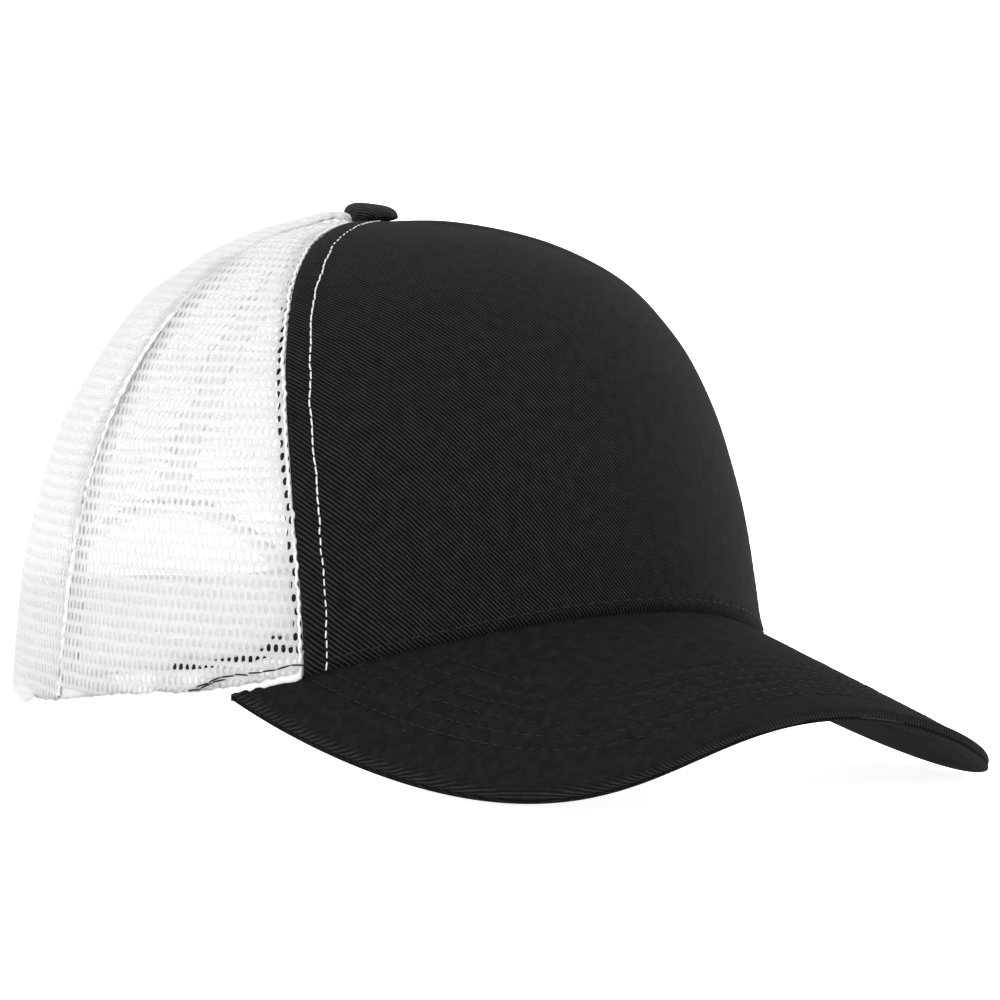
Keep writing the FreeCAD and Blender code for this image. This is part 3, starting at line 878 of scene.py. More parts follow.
# ---------------------------------------------------------------- net panels
def net_panel(name, seams, mirror, seed, arch=False):
    """Open net: staggered oval holes between rounded strands, one closed mesh."""
    rng = np.random.default_rng(seed)
    start, end = beside_seam(seams[0], SEAM_GAP), beside_seam(seams[1], -SEAM_GAP)
    patch = patches[name] = Patch(start, end, (0.0, TOP_LIFT), level=True)
    half = patch.width.max() / 2 + NET_MARGIN
    columns, rows = int(half / NET_PITCH) + 1, int(patch.height / NET_ROW) + 1
    i, j = np.meshgrid(np.arange(-columns, columns + 1), np.arange(-1, rows + 1))
    i, j = i.ravel(), j.ravel()
    u = (i + (j % 2) / 2) * NET_PITCH
    v = (j + 0.5) * NET_ROW
    low, high = patch.edges(v)
    angle, lift, raw = patch.lookup(u, v, patch.angle, patch.lift, patch.raw)
    keep = (u > low - 0.35 * NET_PITCH) & (u < high + 0.35 * NET_PITCH)
    keep &= (raw > -0.6) & (v < patch.height + 0.2)
    if arch:
        place = crown(angle, lift)
        grow = ARCH_BINDING_WIDTH / 2
        keep &= (place[:, 0] / (ARCH_HALF_WIDTH + grow)) ** 2 + (place[:, 2] / (ARCH_HEIGHT + grow)) ** 2 > 1
    i, j, u, v = i[keep], j[keep], u[keep], v[keep]

    # Corners of the cells in half pitches across and in twentieths of a row up. The upper tip of one cell
    # is the lower side corner of the two above it, so neighbours share them.
    corner = np.array([(0, 13), (1, 7), (1, 0), (1, -7), (0, -13), (-1, -7), (-1, 0), (-1, 7)])
    key_u = (2 * i + (j % 2))[:, None] + corner[:, 0]
    key_v = (20 * j)[:, None] + corner[:, 1]
    keys, number = np.unique(np.stack([key_u.ravel(), key_v.ravel()], 1), axis=0, return_inverse=True)
    number = number.reshape(-1, 8)
    edge_u = keys[:, 0] * NET_PITCH / 2
    edge_v = (keys[:, 1] / 20.0 + 0.5) * NET_ROW
    edge_u = edge_u + rng.normal(size=len(keys)) * NET_JITTER
    edge_v = edge_v + rng.normal(size=len(keys)) * NET_JITTER

    turn = np.radians([90, 42, 0, -42, -90, -138, 180, 138])
    size = 1 + rng.normal(size=(len(u), 1)) * 0.05
    wide, tall = [half * size * np.sign(f(turn)) * np.abs(f(turn)) ** HOLE_ROUNDNESS
                  for half, f in zip(NET_HOLE, (np.cos, np.sin))]
    centre_u = (u + rng.normal(size=len(u)) * HOLE_JITTER)[:, None]
    centre_v = (v + rng.normal(size=len(v)) * HOLE_JITTER)[:, None]
    # Each hole has a wide rim on both faces and a narrow one between. Levels go from -1 to 1.
    rings = [(1.17, 1.10, -0.72), (0.98, 0.97, 0.0), (1.17, 1.10, 0.72)]
    hole_u = np.stack([centre_u + wide * a for a, b, c in rings], 1)
    hole_v = np.stack([centre_v + tall * b for a, b, c in rings], 1)
    hole_d = np.broadcast_to(np.array([c for a, b, c in rings])[None, :, None], hole_u.shape)

    all_u = np.concatenate([edge_u, edge_u, hole_u.ravel()])
    all_v = np.concatenate([edge_v, edge_v, hole_v.ravel()])
    level = np.concatenate([np.full(len(edge_u), -1.0), np.full(len(edge_u), 1.0), hole_d.ravel()])
    angle, lift = patch.lookup(all_u, all_v, patch.angle, patch.lift)
    flat = crown(angle, lift)
    soft = 0.42 * wobble(flat, 46, seed + 1) + 0.16 * wobble(flat, 14, seed + 2)
    points = crown(angle, lift, NET_DEPTH + level * NET_HALF_THICKNESS + soft)
    keep_above(points, 0.05)

    count = len(edge_u)
    front_edge, back_edge = number, number + count
    hole = (2 * count + np.arange(hole_u.size)).reshape(hole_u.shape)
    loops = [front_edge, hole[:, 0], hole[:, 1], hole[:, 2], back_edge]
    faces = []
    for first, second in zip(loops[:-1], loops[1:]):
        quads = np.stack([first, np.roll(first, -1, 1), np.roll(second, -1, 1), second], -1)
        faces.append(quads.reshape(-1, 4))
    # Close the outer border where cells have no neighbour.
    sides = np.stack([front_edge, np.roll(front_edge, -1, 1)], -1).reshape(-1, 2)
    ordered = np.sort(sides, 1)
    _, first, counts = np.unique(ordered, axis=0, return_index=True, return_counts=True)
    border = sides[first[counts == 1]]
    faces.append(np.stack([border[:, 1], border[:, 0], border[:, 0] + count, border[:, 1] + count], -1))
    faces = np.concatenate(faces)
    # Corners turn clockwise seen from outside, so the winding is reversed unless mirrored.
    if mirror:
        points = swelled(points * (-1, 1, 1))
    else:
        faces = faces[:, ::-1]
    return add_mesh(name, points, [faces], WHITE_NET)


NET_PARTS = (("side", (FRONT_SEAM, SIDE_SEAM), 0.0, 0),
             ("back", (SIDE_SEAM, BACK_SEAM), math.pi / 4 * ARCH_HALF_WIDTH * ARCH_HEIGHT, 5))
for side_name, mirror in SIDES:
    for part, seams, arch_area, seed in NET_PARTS:
        seed += 31 if mirror else 11
        panel = net_panel("net_" + part + "_" + side_name, seams, mirror, seed, arch_area > 0)
        on_cap(panel, "mesh_" + part + "_" + side_name)


# ---------------------------------------------------------------- net hem and seam edges
def fold_section(line, half):
    """Closed section of a strip of an even thickness round a centre line of (height, depth) pairs."""
    line = np.asarray(line, float)
    along = unit(np.gradient(line, axis=0))
    across = np.stack([-along[:, 1], along[:, 0]], 1) * half
    return np.concatenate([line + across, (line - across)[::-1]])


# Net hem: a white strip folded round the edge of the net, low outside and higher inside.
HEM_FOLD = [(1.3, 0.10), (0.9, 0.00), (0.45, -0.04), (0.12, 0.08), (-0.04, 0.42), (0.2, 0.85), (0.9, 1.12),
            (2.2, 1.22), (3.6, 1.25), (5.0, 1.22), (6.3, 1.18)]
HEM_ENDS = (53.4, 144.6)
for side_name, mirror in SIDES:
    angle = np.append(np.arange(*HEM_ENDS, 0.35), HEM_ENDS[1])
    section = fold_section(HEM_FOLD, 0.17)
    height, depth = section[:, 0], section[:, 1]
    grid_angle = angle[:, None] * np.ones(len(height))
    rough = crown(grid_angle, 0.0) + np.stack([height * 0, height * 0, height], -1)
    uneven = 0.22 * wobble(rough, 1.9, 41 + mirror, 10) + 0.16 * wobble(rough, 6.0, 43 + mirror)
    grid = crown(grid_angle, lift_at(grid_angle, height + uneven * 0.8), depth + uneven * 0.35)
    keep_above(grid, 0.03)
    hem = ring_mesh("hem_fold_" + side_name, [grid], WHITE_HEM, mirror)
    on_cap(hem, "hem_binding_" + side_name)

# Folded net edges along the seams: soft uneven white strands. Each has its seam, its distance beside it,
# its lifts, its depth and its half thickness.
STRANDS = [(FRONT_SEAM, 0.62, 0.6, 80.0, 0.22, 0.36)]
STRANDS += [(SIDE_SEAM, distance, 1.0, 82.0, 0.42, 0.24) for distance in (-0.5, 0.0, 0.5)]
for side_name, mirror in SIDES:
    grids = []
    for seam, distance, low, high, depth, thick in STRANDS:
        lift = np.linspace(low, high, 420)
        angle = beside(seam_angle(seam, lift), lift, distance)
        place, normal = crown(angle, lift, 0.25), crown_normal(angle, lift)
        beat = walked(place) * 2 * math.pi / NET_ROW
        wave = 0.16 * np.sin(beat + 3 * distance) + 0.17 * wobble(place, 4, 61)
        angle = beside(angle, lift, wave)
        place = crown(angle, lift, depth + 0.08 * wobble(place, 7, 63))
        thick = thick + 0.07 * np.sin(beat) + 0.06 * wobble(place, 2.4, 65)
        grids.append(swept(place, normal, round_section(1.0, 1.0, 8)[None] * thick[:, None, None]))
    strand = ring_mesh("net_seam_edge_" + side_name, grids, WHITE_HEM, mirror)
    on_cap(strand)


# ---------------------------------------------------------------- half-moon opening
def back_spot(x, z):
    """Angle and lift of the point of the crown's back at a distance from the middle and a height."""
    low = np.full(np.shape(x), 95.0)
    high = np.full(np.shape(x), 180.0)
    for _ in range(40):
        angle = (low + high) / 2
        lift, reach = at_height(angle, z)
        wide = opening(angle)[0] * reach > np.abs(x)
        low = np.where(wide, angle, low)
        high = np.where(wide, high, angle)
    return angle, lift


def arch_line(grow, depth, count=260, low=0.0):
    """Path round the half-moon, from the wearer's left foot over to the right one."""
    turn = np.linspace(0, math.pi / 2, count // 2)
    x, z = (ARCH_HALF_WIDTH + grow) * np.cos(turn), (ARCH_HEIGHT + grow) * np.sin(turn)
    angle, lift = back_spot(x, np.maximum(z, low))
    place, normal = crown(angle, lift, depth), crown_normal(angle, lift)
    flip = np.array([-1, 1, 1])
    return [np.concatenate([half, (half * flip)[-2::-1]]) for half in (place, normal)]


path, normals = arch_line(ARCH_BINDING_WIDTH / 2, 0.5)
swelling = 1 + 0.03 * np.sin(walked(path) * 2 * math.pi / 3.4)
grid = swept(path, normals, round_section(2.1, 0.92, 20, 0.55)[None] * swelling[:, None, None])
keep_above(grid, 0.03)
binding = ring_mesh("half_moon_binding", [grid], WHITE_TAPE)
on_cap(binding, "arch_binding")


# ---------------------------------------------------------------- visor
def visor_point(along, reach, depth=0.0):
    """Point at a depth under the visor's upper surface."""
    bend = along / VISOR_RADIUS
    radius = VISOR_RADIUS - depth
    return np.stack(np.broadcast_arrays(radius * np.sin(bend),
                                        CENTRE_Y - HALF_FRONT - reach * math.cos(VISOR_SLOPE),
                                        SEAM_Z - reach * math.sin(VISOR_SLOPE) - VISOR_RADIUS
                                        + radius * np.cos(bend)), -1)


def visor_spot(turn, inset, depth):
    """Point at an inset from the visor's outline, measured in plan, and at a depth under its top."""
    x, y = visor_plan(*visor_flat(turn, inset))
    return np.stack(np.broadcast_arrays(x, y + CENTRE_Y, SEAM_Z - visor_drop(x, y, depth)), -1)


def visor_normal(along, reach):
    """Upward direction of the visor's upper surface."""
    bend = along / VISOR_RADIUS
    return unit(np.stack([np.sin(bend) * math.cos(VISOR_SLOPE), -np.cos(bend) * math.sin(VISOR_SLOPE),
                          np.cos(bend) * math.cos(VISOR_SLOPE)], -1))


def in_head(turn, inset, shrink):
    """Whether a point of the visor lies inside the head opening, made smaller all round."""
    x, y = visor_plan(*visor_flat(turn, inset))
    return (x / (HALF_WIDTH - shrink)) ** 2 + (y / (HALF_FRONT - shrink)) ** 2 < 1


def turns_outside(inset, shrink, spacing):
    """Turns of an even walk along one line of the visor, from one side of the head opening to the other."""
    fine = np.linspace(-1, 1, 40001)
    turn = VISOR_END_TURN * np.sign(fine) * np.abs(fine) ** 2.4
    turn = turn[~in_head(turn, inset, shrink)]
    length = walked(visor_point(*visor_flat(turn, inset)))
    count = max(int(length[-1] / spacing), 2)
    return np.interp(np.linspace(0, length[-1], count), length, turn)


visor_turns = turns_outside(0.0, VISOR_SEAM_INSET, 0.8)
near, far = np.zeros(len(visor_turns)), np.full(len(visor_turns), 80.0)
for _ in range(40):
    middle = (near + far) / 2
    inside = in_head(visor_turns, middle, VISOR_SEAM_INSET)
    far, near = np.where(inside, middle, far), np.where(inside, near, middle)
visor_reach = near

inner_lines = set(np.arange(VISOR_EDGE + 0.8, 74.0, 0.8).round(2).tolist())
inner_lines |= set(round(row + step, 2) for row in VISOR_ROWS for step in (-0.35, 0.0, 0.35))
inner_lines = np.array(sorted(inner_lines))


def visor_relief(along, reach, inset):
    """Sewn rows sink into the cloth, which swells between them."""
    place = visor_point(along, reach)
    change = 0.12 * wobble(place, 34, 71) + 0.05 * wobble(place, 9, 72)
    for row in VISOR_ROWS:
        change = change + 0.20 * bell(inset - row, 0.42) + 0.05 * bell(inset - row, 1.2)
    within = (inset > VISOR_ROWS[0]) & (inset < VISOR_ROWS[-1])
    change = change - 0.06 * within
    pucker = 0.035 * np.sin((along - reach) * 2 * math.pi / 3.0) * (inset > 9) * (inset < 34)
    return change + pucker


def visor_cover(name, start_rows, inner, material, node, side, skin=0.42):
    """Upper or under cover: rows round the edge, each an (inset, depth, cloth length, inset and depth of
    the inner face), then the flat part."""
    base = 0.0 if side > 0 else VISOR_THICKNESS
    outer, inner_grid, uv, relief = [], [], [], []
    for inset, depth, cloth, inner_inset, inner_depth in start_rows:
        outer.append(visor_spot(visor_turns, np.minimum(inset, visor_reach), depth))
        inner_grid.append(visor_spot(visor_turns, np.minimum(inner_inset, visor_reach), inner_depth))
        flat_along, flat_reach = visor_flat(visor_turns, cloth)
        uv.append(np.stack([flat_along, -flat_reach], -1))
        relief.append(np.full(len(visor_turns), 1 - 0.9 * smooth(1.0 - side * (depth - base), 0.2, 0.95)))
    for inset in inner.tolist():
        clamped = np.minimum(inset, visor_reach)
        along, reach = visor_flat(visor_turns, clamped)
        fade = np.clip((clamped - start_rows[-1][0]) / 3, 0, 1)
        depth = base + side * visor_relief(along, reach, clamped) * fade
        outer.append(visor_spot(visor_turns, clamped, depth))
        inner_grid.append(visor_spot(visor_turns, clamped, depth + side * skin))
        uv.append(np.stack([along, -reach], -1))
        relief.append(1 - 0.93 * smooth(clamped + 0.2 * np.sin(along * 1.9), 0.4, 1.6))
    outer, inner_grid, uv, relief = [np.array(rows) for rows in (outer, inner_grid, uv, relief)]
    cover = shell(name, outer, inner_grid, material, uv, relief=relief)
    on_cap(cover, node)


# The upper cloth wraps the board's edge and meets the under cloth in a groove near the bottom.
GROOVE_DEPTH = 1.84
edge_section = []
for turn in np.radians(np.linspace(-90, 90, 21)):
    sink = (VISOR_EDGE if turn > 0 else 0.42) * (1 - max(math.cos(turn), 0.0) ** 0.8)
    depth = GROOVE_DEPTH / 2 * (1 - math.sin(turn))
    cloth_length = VISOR_EDGE - (math.pi / 2 - turn) * (VISOR_EDGE + GROOVE_DEPTH / 2) / 2
    edge_section.append((sink, depth, cloth_length, max(sink + 0.04, 0.46), min(max(depth, 0.43), 1.80)))
visor_cover("visor_upper_cloth", edge_section, inner_lines, VISOR_TWILL, "visor_top_cover", 1)
under_section = [(0.47, 1.66, -1.0, 0.47, 1.66), (0.47, 1.98, -0.7, 0.49, 1.98),
                 (0.42, 2.04, -0.6, 0.49, 2.08), (0.22, 2.05, -0.4, 0.49, 2.10),
                 (0.10, 2.13, -0.3, 0.49, 2.12), (0.05, 2.26, -0.15, 0.48, 2.13),
                 (0.12, 2.43, 0.05, 0.5, 2.14), (0.33, 2.55, 0.3, 0.6, 2.15), (0.8, 2.59, 0.8, 0.9, 2.16)]
# The under cloth gets the darker twill, which is painted shade under the visor.
visor_cover("visor_under_cloth", under_section, inner_lines[inner_lines > 1.2], UNDER_TWILL_PAINTED_SHADE,
            "visor_under_cover", -1)


# ---------------------------------------------------------------- threads
def thread_piece(name, parts, material):
    """One mesh of all stitches of one kind."""
    by_sides, first = {}, 0
    for points, groups in parts:
        for group in groups:
            by_sides.setdefault(group.shape[1], []).append(group + first)
        first += len(points)
    piece = add_mesh(name, np.concatenate([points for points, groups in parts]),
                     [np.concatenate(groups) for groups in by_sides.values()], material)
    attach(piece, "cap")


def crown_stitches(angle, lift, depth, *sizes, mirror=False, side=1, **more):
    """Row of stitches on the crown. side is -1 on the inside. sizes are the pitch, the radius, the gap
    between threads and how high they ride."""
    place, normal = crown(angle, lift, depth), crown_normal(angle, lift)
    flip = (-1, 1, 1) if mirror else (1, 1, 1)
    return stitches(place * flip, side * normal * flip, *sizes, **more)


front_rows = []
for mirror in (False, True):
    lift = np.concatenate([np.linspace(0.3, 12, 60), np.linspace(12.2, 84.5, 500)])
    sway = 0.14 * np.sin(lift * 0.42 + mirror) + 0.12 * np.sin(lift * 1.13 + 2)
    angle = beside(seam_angle(FRONT_SEAM, lift), lift, sway - TOPSTITCH_INSET)
    front_rows.append(crown_stitches(angle, lift, 0.0, 2.3, 0.20, 0.0, 0.95, mirror=mirror, seed=81 + mirror))
thread_piece("front_topstitch", front_rows, WHITE_THREAD)

angle = np.linspace(-53.0, 53.0, 700)
hem_rows = [crown_stitches(angle, lift_at(angle, HEM_STITCH_HEIGHT), 0.02, 3.1, 0.21, 0.7, seed=83)]
# The seam runs on into the net and a little way back, as (angle, height) pairs.
RUN_ON = [(52.8, 3.0), (55.0, 3.5), (58.0, 3.1), (61.0, 3.5), (64.5, 3.8), (66.8, 3.5), (69.0, 2.4),
          (71.2, 1.3)]
BACK_TACK = [(71.2, 1.3), (69.6, 1.5), (68.2, 2.2), (66.2, 3.2), (65.0, 3.3)]
for mirror in (False, True):
    for row in (RUN_ON, BACK_TACK):
        row = np.array(row)
        share = np.linspace(0, len(row) - 1, 120)
        angle = np.interp(share, np.arange(len(row)), row[:, 0])
        height = np.interp(share, np.arange(len(row)), row[:, 1])
        hem_rows.append(crown_stitches(angle, lift_at(angle, height), -0.12, 3.6, 0.19, 0.15, mirror=mirror,
                                       seed=85 + mirror, slant=0.06))
thread_piece("hem_thread", hem_rows, BLACK_THREAD)

visor_threads = []
for number, row in enumerate(VISOR_ROWS):
    turn = turns_outside(row, -0.4, 0.5)
    along, reach = visor_flat(turn, row)
    for depth, flip in ((0.24, 1), (VISOR_THICKNESS - 0.24, -1)):
        visor_threads.append(stitches(visor_point(along, reach, depth), flip * visor_normal(along, reach),
                                      3.05, 0.16, 0.6, seed=90 + number))
thread_piece("visor_thread", visor_threads, GREY_THREAD)

white_rows = []
for mirror in (False, True):
    lift = np.linspace(5.0, 57.0, 300)
    for distance in TAPE_STITCH_OFFSETS:
        angle = beside(seam_angle(SIDE_SEAM, lift), lift, distance)
        white_rows.append(crown_stitches(angle, lift, TAPE_STITCH_DEPTH, 3.2, 0.18, 0.7, mirror=mirror,
                                         side=-1, seed=101 + mirror))
lift = np.linspace(1.0, 81.0, 300)
for distance in TAPE_STITCH_OFFSETS:
    angle = beside(np.full(len(lift), 180.0), lift, distance)
    high = crown(angle, lift, TAPE_STITCH_DEPTH)[:, 2] > ARCH_HEIGHT + ARCH_BINDING_WIDTH + 1
    white_rows.append(crown_stitches(angle[high], lift[high], TAPE_STITCH_DEPTH, 3.2, 0.18, 0.7, side=-1,
                                     seed=103))
for depth, flip in ((-0.46, 1), (1.46, -1)):
    path, normals = arch_line(ARCH_BINDING_WIDTH - 0.9, depth, low=1.0)
    white_rows.append(stitches(path, normals * flip, 3.0, 0.2, 0.7, seed=105))
thread_piece("seam_thread", white_rows, WHITE_THREAD)


# ---------------------------------------------------------------- inside: tapes, allowance, sweatband
def uneven_sheet(size, scale, seed, waves=6, both=1):
    """Relief of a slightly uneven sheet. Its faces move together, or apart where both is -1."""
    def relief(u, v, width, height, place):
        soft = size * wobble(place, scale, seed, waves)
        return both * soft, soft
    return relief


def tape(name, seam, low, high, lifts, look, node, mirror=False):
    """Tape inside the crown, between two distances beside a seam."""
    piece = crown_band(name, beside_seam(seam, low), beside_seam(seam, high, uneven=0.35), lifts, TAPE_DEPTH,
                       look, (1.0, 1.2), 0.25, uneven_sheet(0.08, 11, 111), mirror)
    on_cap(piece, node)


for side_name, mirror in SIDES:
    tape("tape_front_" + side_name, FRONT_SEAM, -TAPE_HALF_WIDTH, 3.1, (4.6, 82.0), BLACK_TAPE,
         "seam_tape_front_" + side_name, mirror)
    tape("tape_side_" + side_name, SIDE_SEAM, -TAPE_HALF_WIDTH, TAPE_HALF_WIDTH, (4.6, 58.0), WHITE_TAPE,
         "seam_tape_side_" + side_name, mirror)
arch_top_lift = back_spot(np.array([0.0]), np.array([ARCH_HEIGHT + ARCH_BINDING_WIDTH + 0.2]))[1][0]
tape("tape_back", BACK_SEAM, -TAPE_HALF_WIDTH, TAPE_HALF_WIDTH, (arch_top_lift, 82.0), WHITE_TAPE,
     "seam_tape_back")

allowance = crown_band("visor_seam_cloth", steady(-ALLOWANCE_END), steady(ALLOWANCE_END), (0.6, 4.4),
                       TAPE_DEPTH, BLACK_TAPE, (1.2, 0.8), 0.25, uneven_sheet(0.10, 8, 121))
ends = []
for mirror in (False, True):
    angle = np.linspace(54.0, 76.0, 90)
    top = 7.9 + 3.2 * bell(angle - 58.0, 1.7) - 1.9 * bell(angle - 68.0, 2.6) + 0.9 * bell(angle - 72.5, 1.3)
    top = top - 3.0 * (1 - smooth(angle, 55.6, 57.0)) - 2.4 * smooth(angle, 74.5, 76.0)
    top = top + 0.35 * np.sin(angle * 4.1) + 0.25 * np.sin(angle * 9.7 + 1)
    share = np.linspace(0, 1, 16)
    turn = angle[:, None] * np.ones(len(share))
    up = lift_at(turn, 1.2 + (top[:, None] - 1.2) * share)
    soft = 0.12 * wobble(crown(turn, up), 6, 123 + mirror)
    section = [crown(turn, up, 1.62 + soft), crown(turn, up, 1.86 + soft)[:, ::-1]]
    ends.append(np.concatenate(section, 1) * ((-1, 1, 1) if mirror else (1, 1, 1)))
allowance_ends = ring_mesh("visor_seam_cloth_ends", ends, BLACK_TAPE)
on_cap(allowance_ends)
on_cap(allowance, "visor_seam_allowance")


def sweatband_relief(u, v, width, height, place):
    """Soft swelling between the sewn foot and the folded top edge, with small puckers."""
    share = v / height
    swell = 0.55 * np.sin(np.pi * np.clip(share, 0, 1)) ** 0.7
    groove = 0.35 * bell(v - (height - 2.0), 0.5) + 0.30 * bell(v - 2.2, 0.6)
    pucker = 0.16 * wobble(place, 6.5, 131, 8) + 0.12 * wobble(place, 15, 132)
    return np.zeros_like(u), swell - groove * 0.8 + pucker * (0.4 + 0.6 * np.sin(np.pi * share))


sweatband = crown_band("sweatband_cloth", steady(-SWEATBAND_END), steady(SWEATBAND_END), SWEATBAND_LIFTS,
                       (3.5, 4.0), COTTON, (1.1, 0.8), 0.3, sweatband_relief, low_piece=True)
on_cap(sweatband, "sweatband")

padding = crown_band("sweatband_felt", steady(-PADDING_END), steady(PADDING_END), (1.2, 14.0), (2.65, 3.35),
                     PADDING, (1.6, 1.2), 0.35, uneven_sheet(0.07, 5, 141, 8, -1), low_piece=True)
on_cap(padding, "sweatband_padding")

band_rows = []
angle = np.linspace(-140, 140, 1200)
for share in (0.14, 0.88):
    lift = np.full(len(angle), SWEATBAND_LIFTS[0] * (1 - share) + SWEATBAND_LIFTS[1] * share)
    band_rows.append(crown_stitches(angle, lift, 4.02, 3.0, 0.2, 0.7, side=-1, seed=151))
thread_piece("sweatband_thread", band_rows, WHITE_THREAD)


# ---------------------------------------------------------------- button
BUTTON_LEAN = np.array(Matrix.Rotation(math.radians(-6.0), 3, Vector((-0.61, -0.79, 0.0))))
BUTTON_SINK = 0.35
BUTTON_WAIST = 0.44
RINGS, SPOKES = 34, 120

low, high = box_mm("button_cover")
radius, height = (high[0] - low[0]) / 2, high[2] - low[2]
seat = np.array([0.0, (low[1] + high[1]) / 2, low[2]])
share = np.linspace(0, 1, RINGS)
turn = np.linspace(0, 2 * math.pi, SPOKES, endpoint=False)
crest = share * math.pi * 0.86
flat_radius = radius * np.sin(crest) ** 0.62
dome = BUTTON_WAIST + (1 - BUTTON_WAIST) * np.cos(np.minimum(crest, math.pi / 2)) ** 0.9
tuck = BUTTON_WAIST * (1 + np.cos(np.maximum(crest, math.pi / 2)))
rise = np.where(crest < math.pi / 2, dome, tuck) * height
gather = np.clip((share - 0.42) / 0.3, 0, 1)[:, None]
folds = (0.24 * np.sin(13 * turn + 0.7 * np.sin(2 * turn)) + 0.13 * np.sin(23 * turn + 1.0))[None]
spread = flat_radius[:, None] + gather * folds
points = np.stack([spread * np.cos(turn), spread * np.sin(turn),
                   rise[:, None] - 0.10 * gather * np.cos(13 * turn)[None]], -1)
# Only the upper part leans, so that the foot stays flat on the crown.
upper = smooth(points[..., 2:] / height, 0.0, 0.5)
points = points * (1 - upper) + points @ BUTTON_LEAN.T * upper
keep_above(points, 0.02)
points = points + seat - (0, 0, BUTTON_SINK)
points = np.concatenate([points.reshape(-1, 3), (seat + (0, 0, 0.02))[None]])
cloth_length = walked(np.stack([flat_radius, rise], -1))[:, None]
uv = np.stack([cloth_length * np.cos(turn), cloth_length * np.sin(turn)], -1).reshape(-1, 2)

index = np.arange(RINGS * SPOKES).reshape(RINGS, SPOKES)
wrap = np.concatenate([index, index[:, :1]], 1)
cap_fan = np.stack([wrap[1, :-1], wrap[1, 1:], np.zeros(SPOKES, int)], -1)
foot_fan = np.stack([wrap[-1, 1:], wrap[-1, :-1], np.full(SPOKES, RINGS * SPOKES)], -1)
faces = outward(points, [grid_faces(wrap[1:])[:, ::-1], cap_fan, foot_fan])
# The button's cloth gets the brightened twill, which is painted light from above.
button = add_mesh("button_cloth", points, faces, BUTTON_TWILL_PAINTED_LIGHT, np.concatenate([uv, [[0, 0]]]))
on_cap(button, "button_cover")


# ---------------------------------------------------------------- closure
def give(node, material):
    """Puts a procedural material on a CAD node."""
    mesh = nodes[node].data
    if not mesh.materials:
        mesh.materials.append(material)
    for slot in range(len(mesh.materials)):
        mesh.materials[slot] = material


for node in ("peg_strap", "hole_strap", "peg_strap_tab", "hole_strap_tab"):
    give(node, PLASTIC)
for node in ("button_core", "button_tack"):
    give(node, METAL)
give("visor_board", BOARD)

def strap_outward(reach, radius, side):
    """Outward direction at a distance along a strap from the line of its bend."""
    turn = side * (STRAP_END_TURN + np.asarray(reach) / radius)
    return np.stack([np.sin(turn), np.cos(turn), 0 * turn], -1)


# A thin web joins each strap to its tab. It bends between its own two ends.
WEB_REACH = (-1.9, 2.6)
for name, radius, side in (("hole", 67.1, 1), ("peg", 65.3, -1)):
    low, high = box_mm(name + "_strap_tab")
    centre = np.array([0, STRAP_CENTRE_Y, (high[2] + low[2]) / 2])
    reach = np.linspace(*WEB_REACH, 24)
    out = strap_outward(reach, radius, side)
    half_height = (high[2] - low[2]) / 2 - 0.3
    half_thickness = 0.34 - 0.10 * bell(reach - 0.3, 0.6)
    sizes = np.stack([np.full(len(reach), half_height), half_thickness], -1)
    section = round_section(1.0, 1.0, 16, 0.3)[None] * sizes[:, None, :]
    web = ring_mesh(name + "_strap_hinge_web", [swept(centre + out * (radius - 0.6), out, section)], PLASTIC)
    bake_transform(web)


# ---------------------------------------------------------------- floor, light and camera
# The floor is a white light table, so it shines a little itself.
floor_look = Look("light_table", (0.93, 0.93, 0.93), 0.9, Specular_IOR_Level=0.1, Emission_Strength=0.88)
floor_look.surface.inputs["Emission Color"].default_value = (1, 1, 1, 1)
mesh = bpy.data.meshes.new("floor")
mesh.from_pydata([(-20, -20, -0.0003), (20, -20, -0.0003), (20, 20, -0.0003), (-20, 20, -0.0003)], [],
                 [(0, 1, 2, 3)])
mesh.materials.append(floor_look.material)
floor = bpy.data.objects.new("floor", mesh)
bpy.context.scene.collection.objects.link(floor)

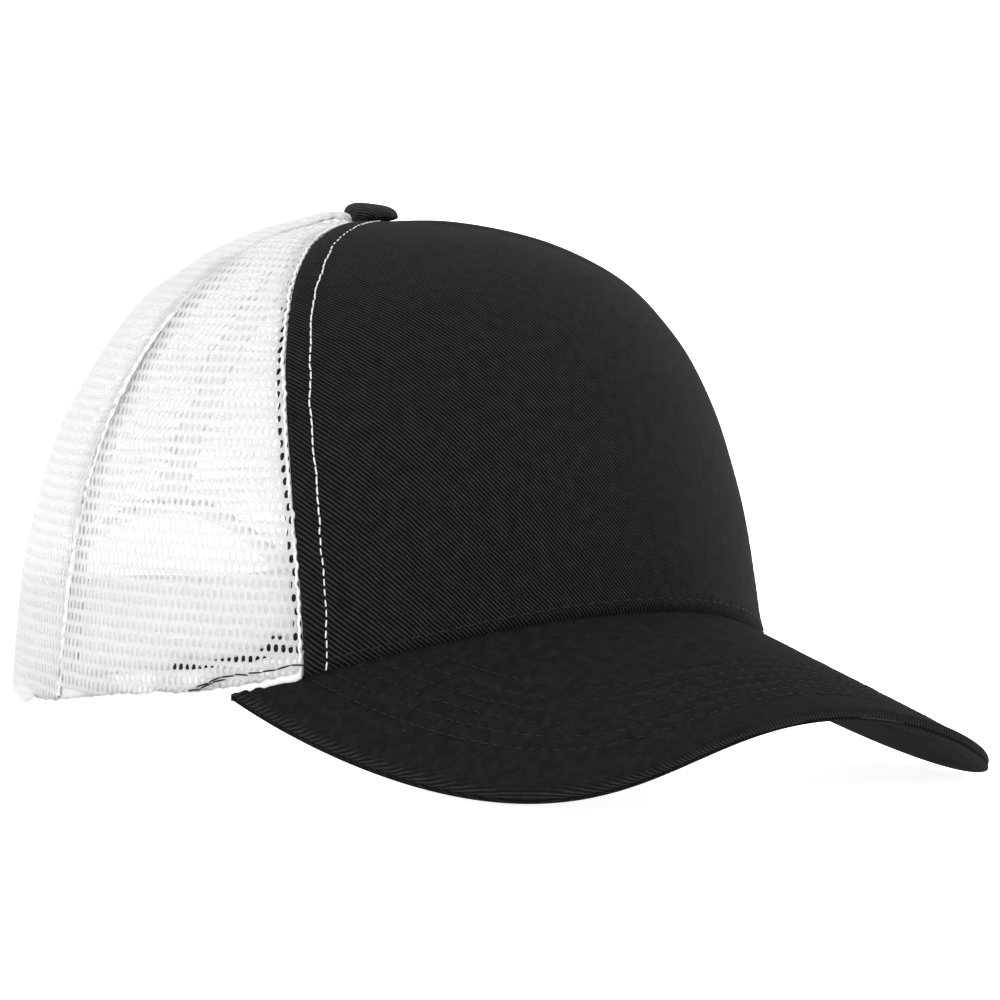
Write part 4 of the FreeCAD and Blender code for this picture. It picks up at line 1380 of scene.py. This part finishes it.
# The room is brighter overhead, with a bright strip along the horizon.
world = bpy.data.worlds.new("studio")
bpy.context.scene.world = world
world.use_nodes = True
tree = world.node_tree
background = tree.nodes["Background"]
background.inputs["Color"].default_value = (1, 1, 1, 1)
place, split, rise, strip, total = [tree.nodes.new("ShaderNode" + kind)
                                    for kind in ("TexCoord", "SeparateXYZ", "MapRange", "Math", "Math")]
rise.inputs["To Min"].default_value = 0.76
rise.inputs["To Max"].default_value = 1.30
strip.operation = "LESS_THAN"
strip.inputs[1].default_value = 0.05
total.operation = "MULTIPLY_ADD"
total.inputs[1].default_value = 0.3
for source, target in ((place.outputs["Generated"], split.inputs[0]),
                       (split.outputs[2], rise.inputs["Value"]), (split.outputs[2], strip.inputs[0]),
                       (strip.outputs[0], total.inputs[0]), (rise.outputs[0], total.inputs[2]),
                       (total.outputs[0], background.inputs["Strength"])):
    tree.links.new(source, target)


def lamp(name, place, target, size, power):
    """Soft square light."""
    data = bpy.data.lights.new(name, "AREA")
    data.shape = "SQUARE"
    data.size = size
    data.energy = power
    thing = bpy.data.objects.new(name, data)
    thing.location = place
    direction = Vector(target) - Vector(place)
    thing.rotation_euler = direction.to_track_quat("-Z", "Y").to_euler()
    bpy.context.scene.collection.objects.link(thing)


lamp("key", (-1.1, -1.5, 1.5), (0, 0, 0.05), 1.2, 8.0)
lamp("fill", (1.6, -1.0, 0.9), (0, 0, 0.05), 1.2, 3.0)
lamp("top", (0.0, 0.4, 1.9), (0, 0, 0.05), 1.4, 6.0)

CAMERA_AZIMUTH = math.radians(-37.935)
CAMERA_ELEVATION = math.radians(3.384)
CAMERA_ROLL = math.radians(0.963)
CAMERA_DISTANCE = 1.28537
CAMERA_TARGET = Vector((0.00404, -0.03758 + CENTRE_Y * MM, 0.05757))

camera_data = bpy.data.cameras.new("camera")
camera_data.sensor_width = 36.0
camera_data.lens = 200.32
camera = bpy.data.objects.new("camera", camera_data)
bpy.context.scene.collection.objects.link(camera)
bpy.context.scene.camera = camera
back = Vector((math.sin(CAMERA_AZIMUTH) * math.cos(CAMERA_ELEVATION),
               -math.cos(CAMERA_AZIMUTH) * math.cos(CAMERA_ELEVATION), math.sin(CAMERA_ELEVATION)))
right = Vector((math.cos(CAMERA_AZIMUTH), math.sin(CAMERA_AZIMUTH), 0))
up = back.cross(right)
tilted_right = right * math.cos(CAMERA_ROLL) + up * math.sin(CAMERA_ROLL)
tilted_up = up * math.cos(CAMERA_ROLL) - right * math.sin(CAMERA_ROLL)
place = CAMERA_TARGET + back * CAMERA_DISTANCE
camera.matrix_world = Matrix([(tilted_right[k], tilted_up[k], back[k], place[k]) for k in range(3)]
                             + [(0, 0, 0, 1)])

bpy.context.scene.view_settings.view_transform = "Standard"
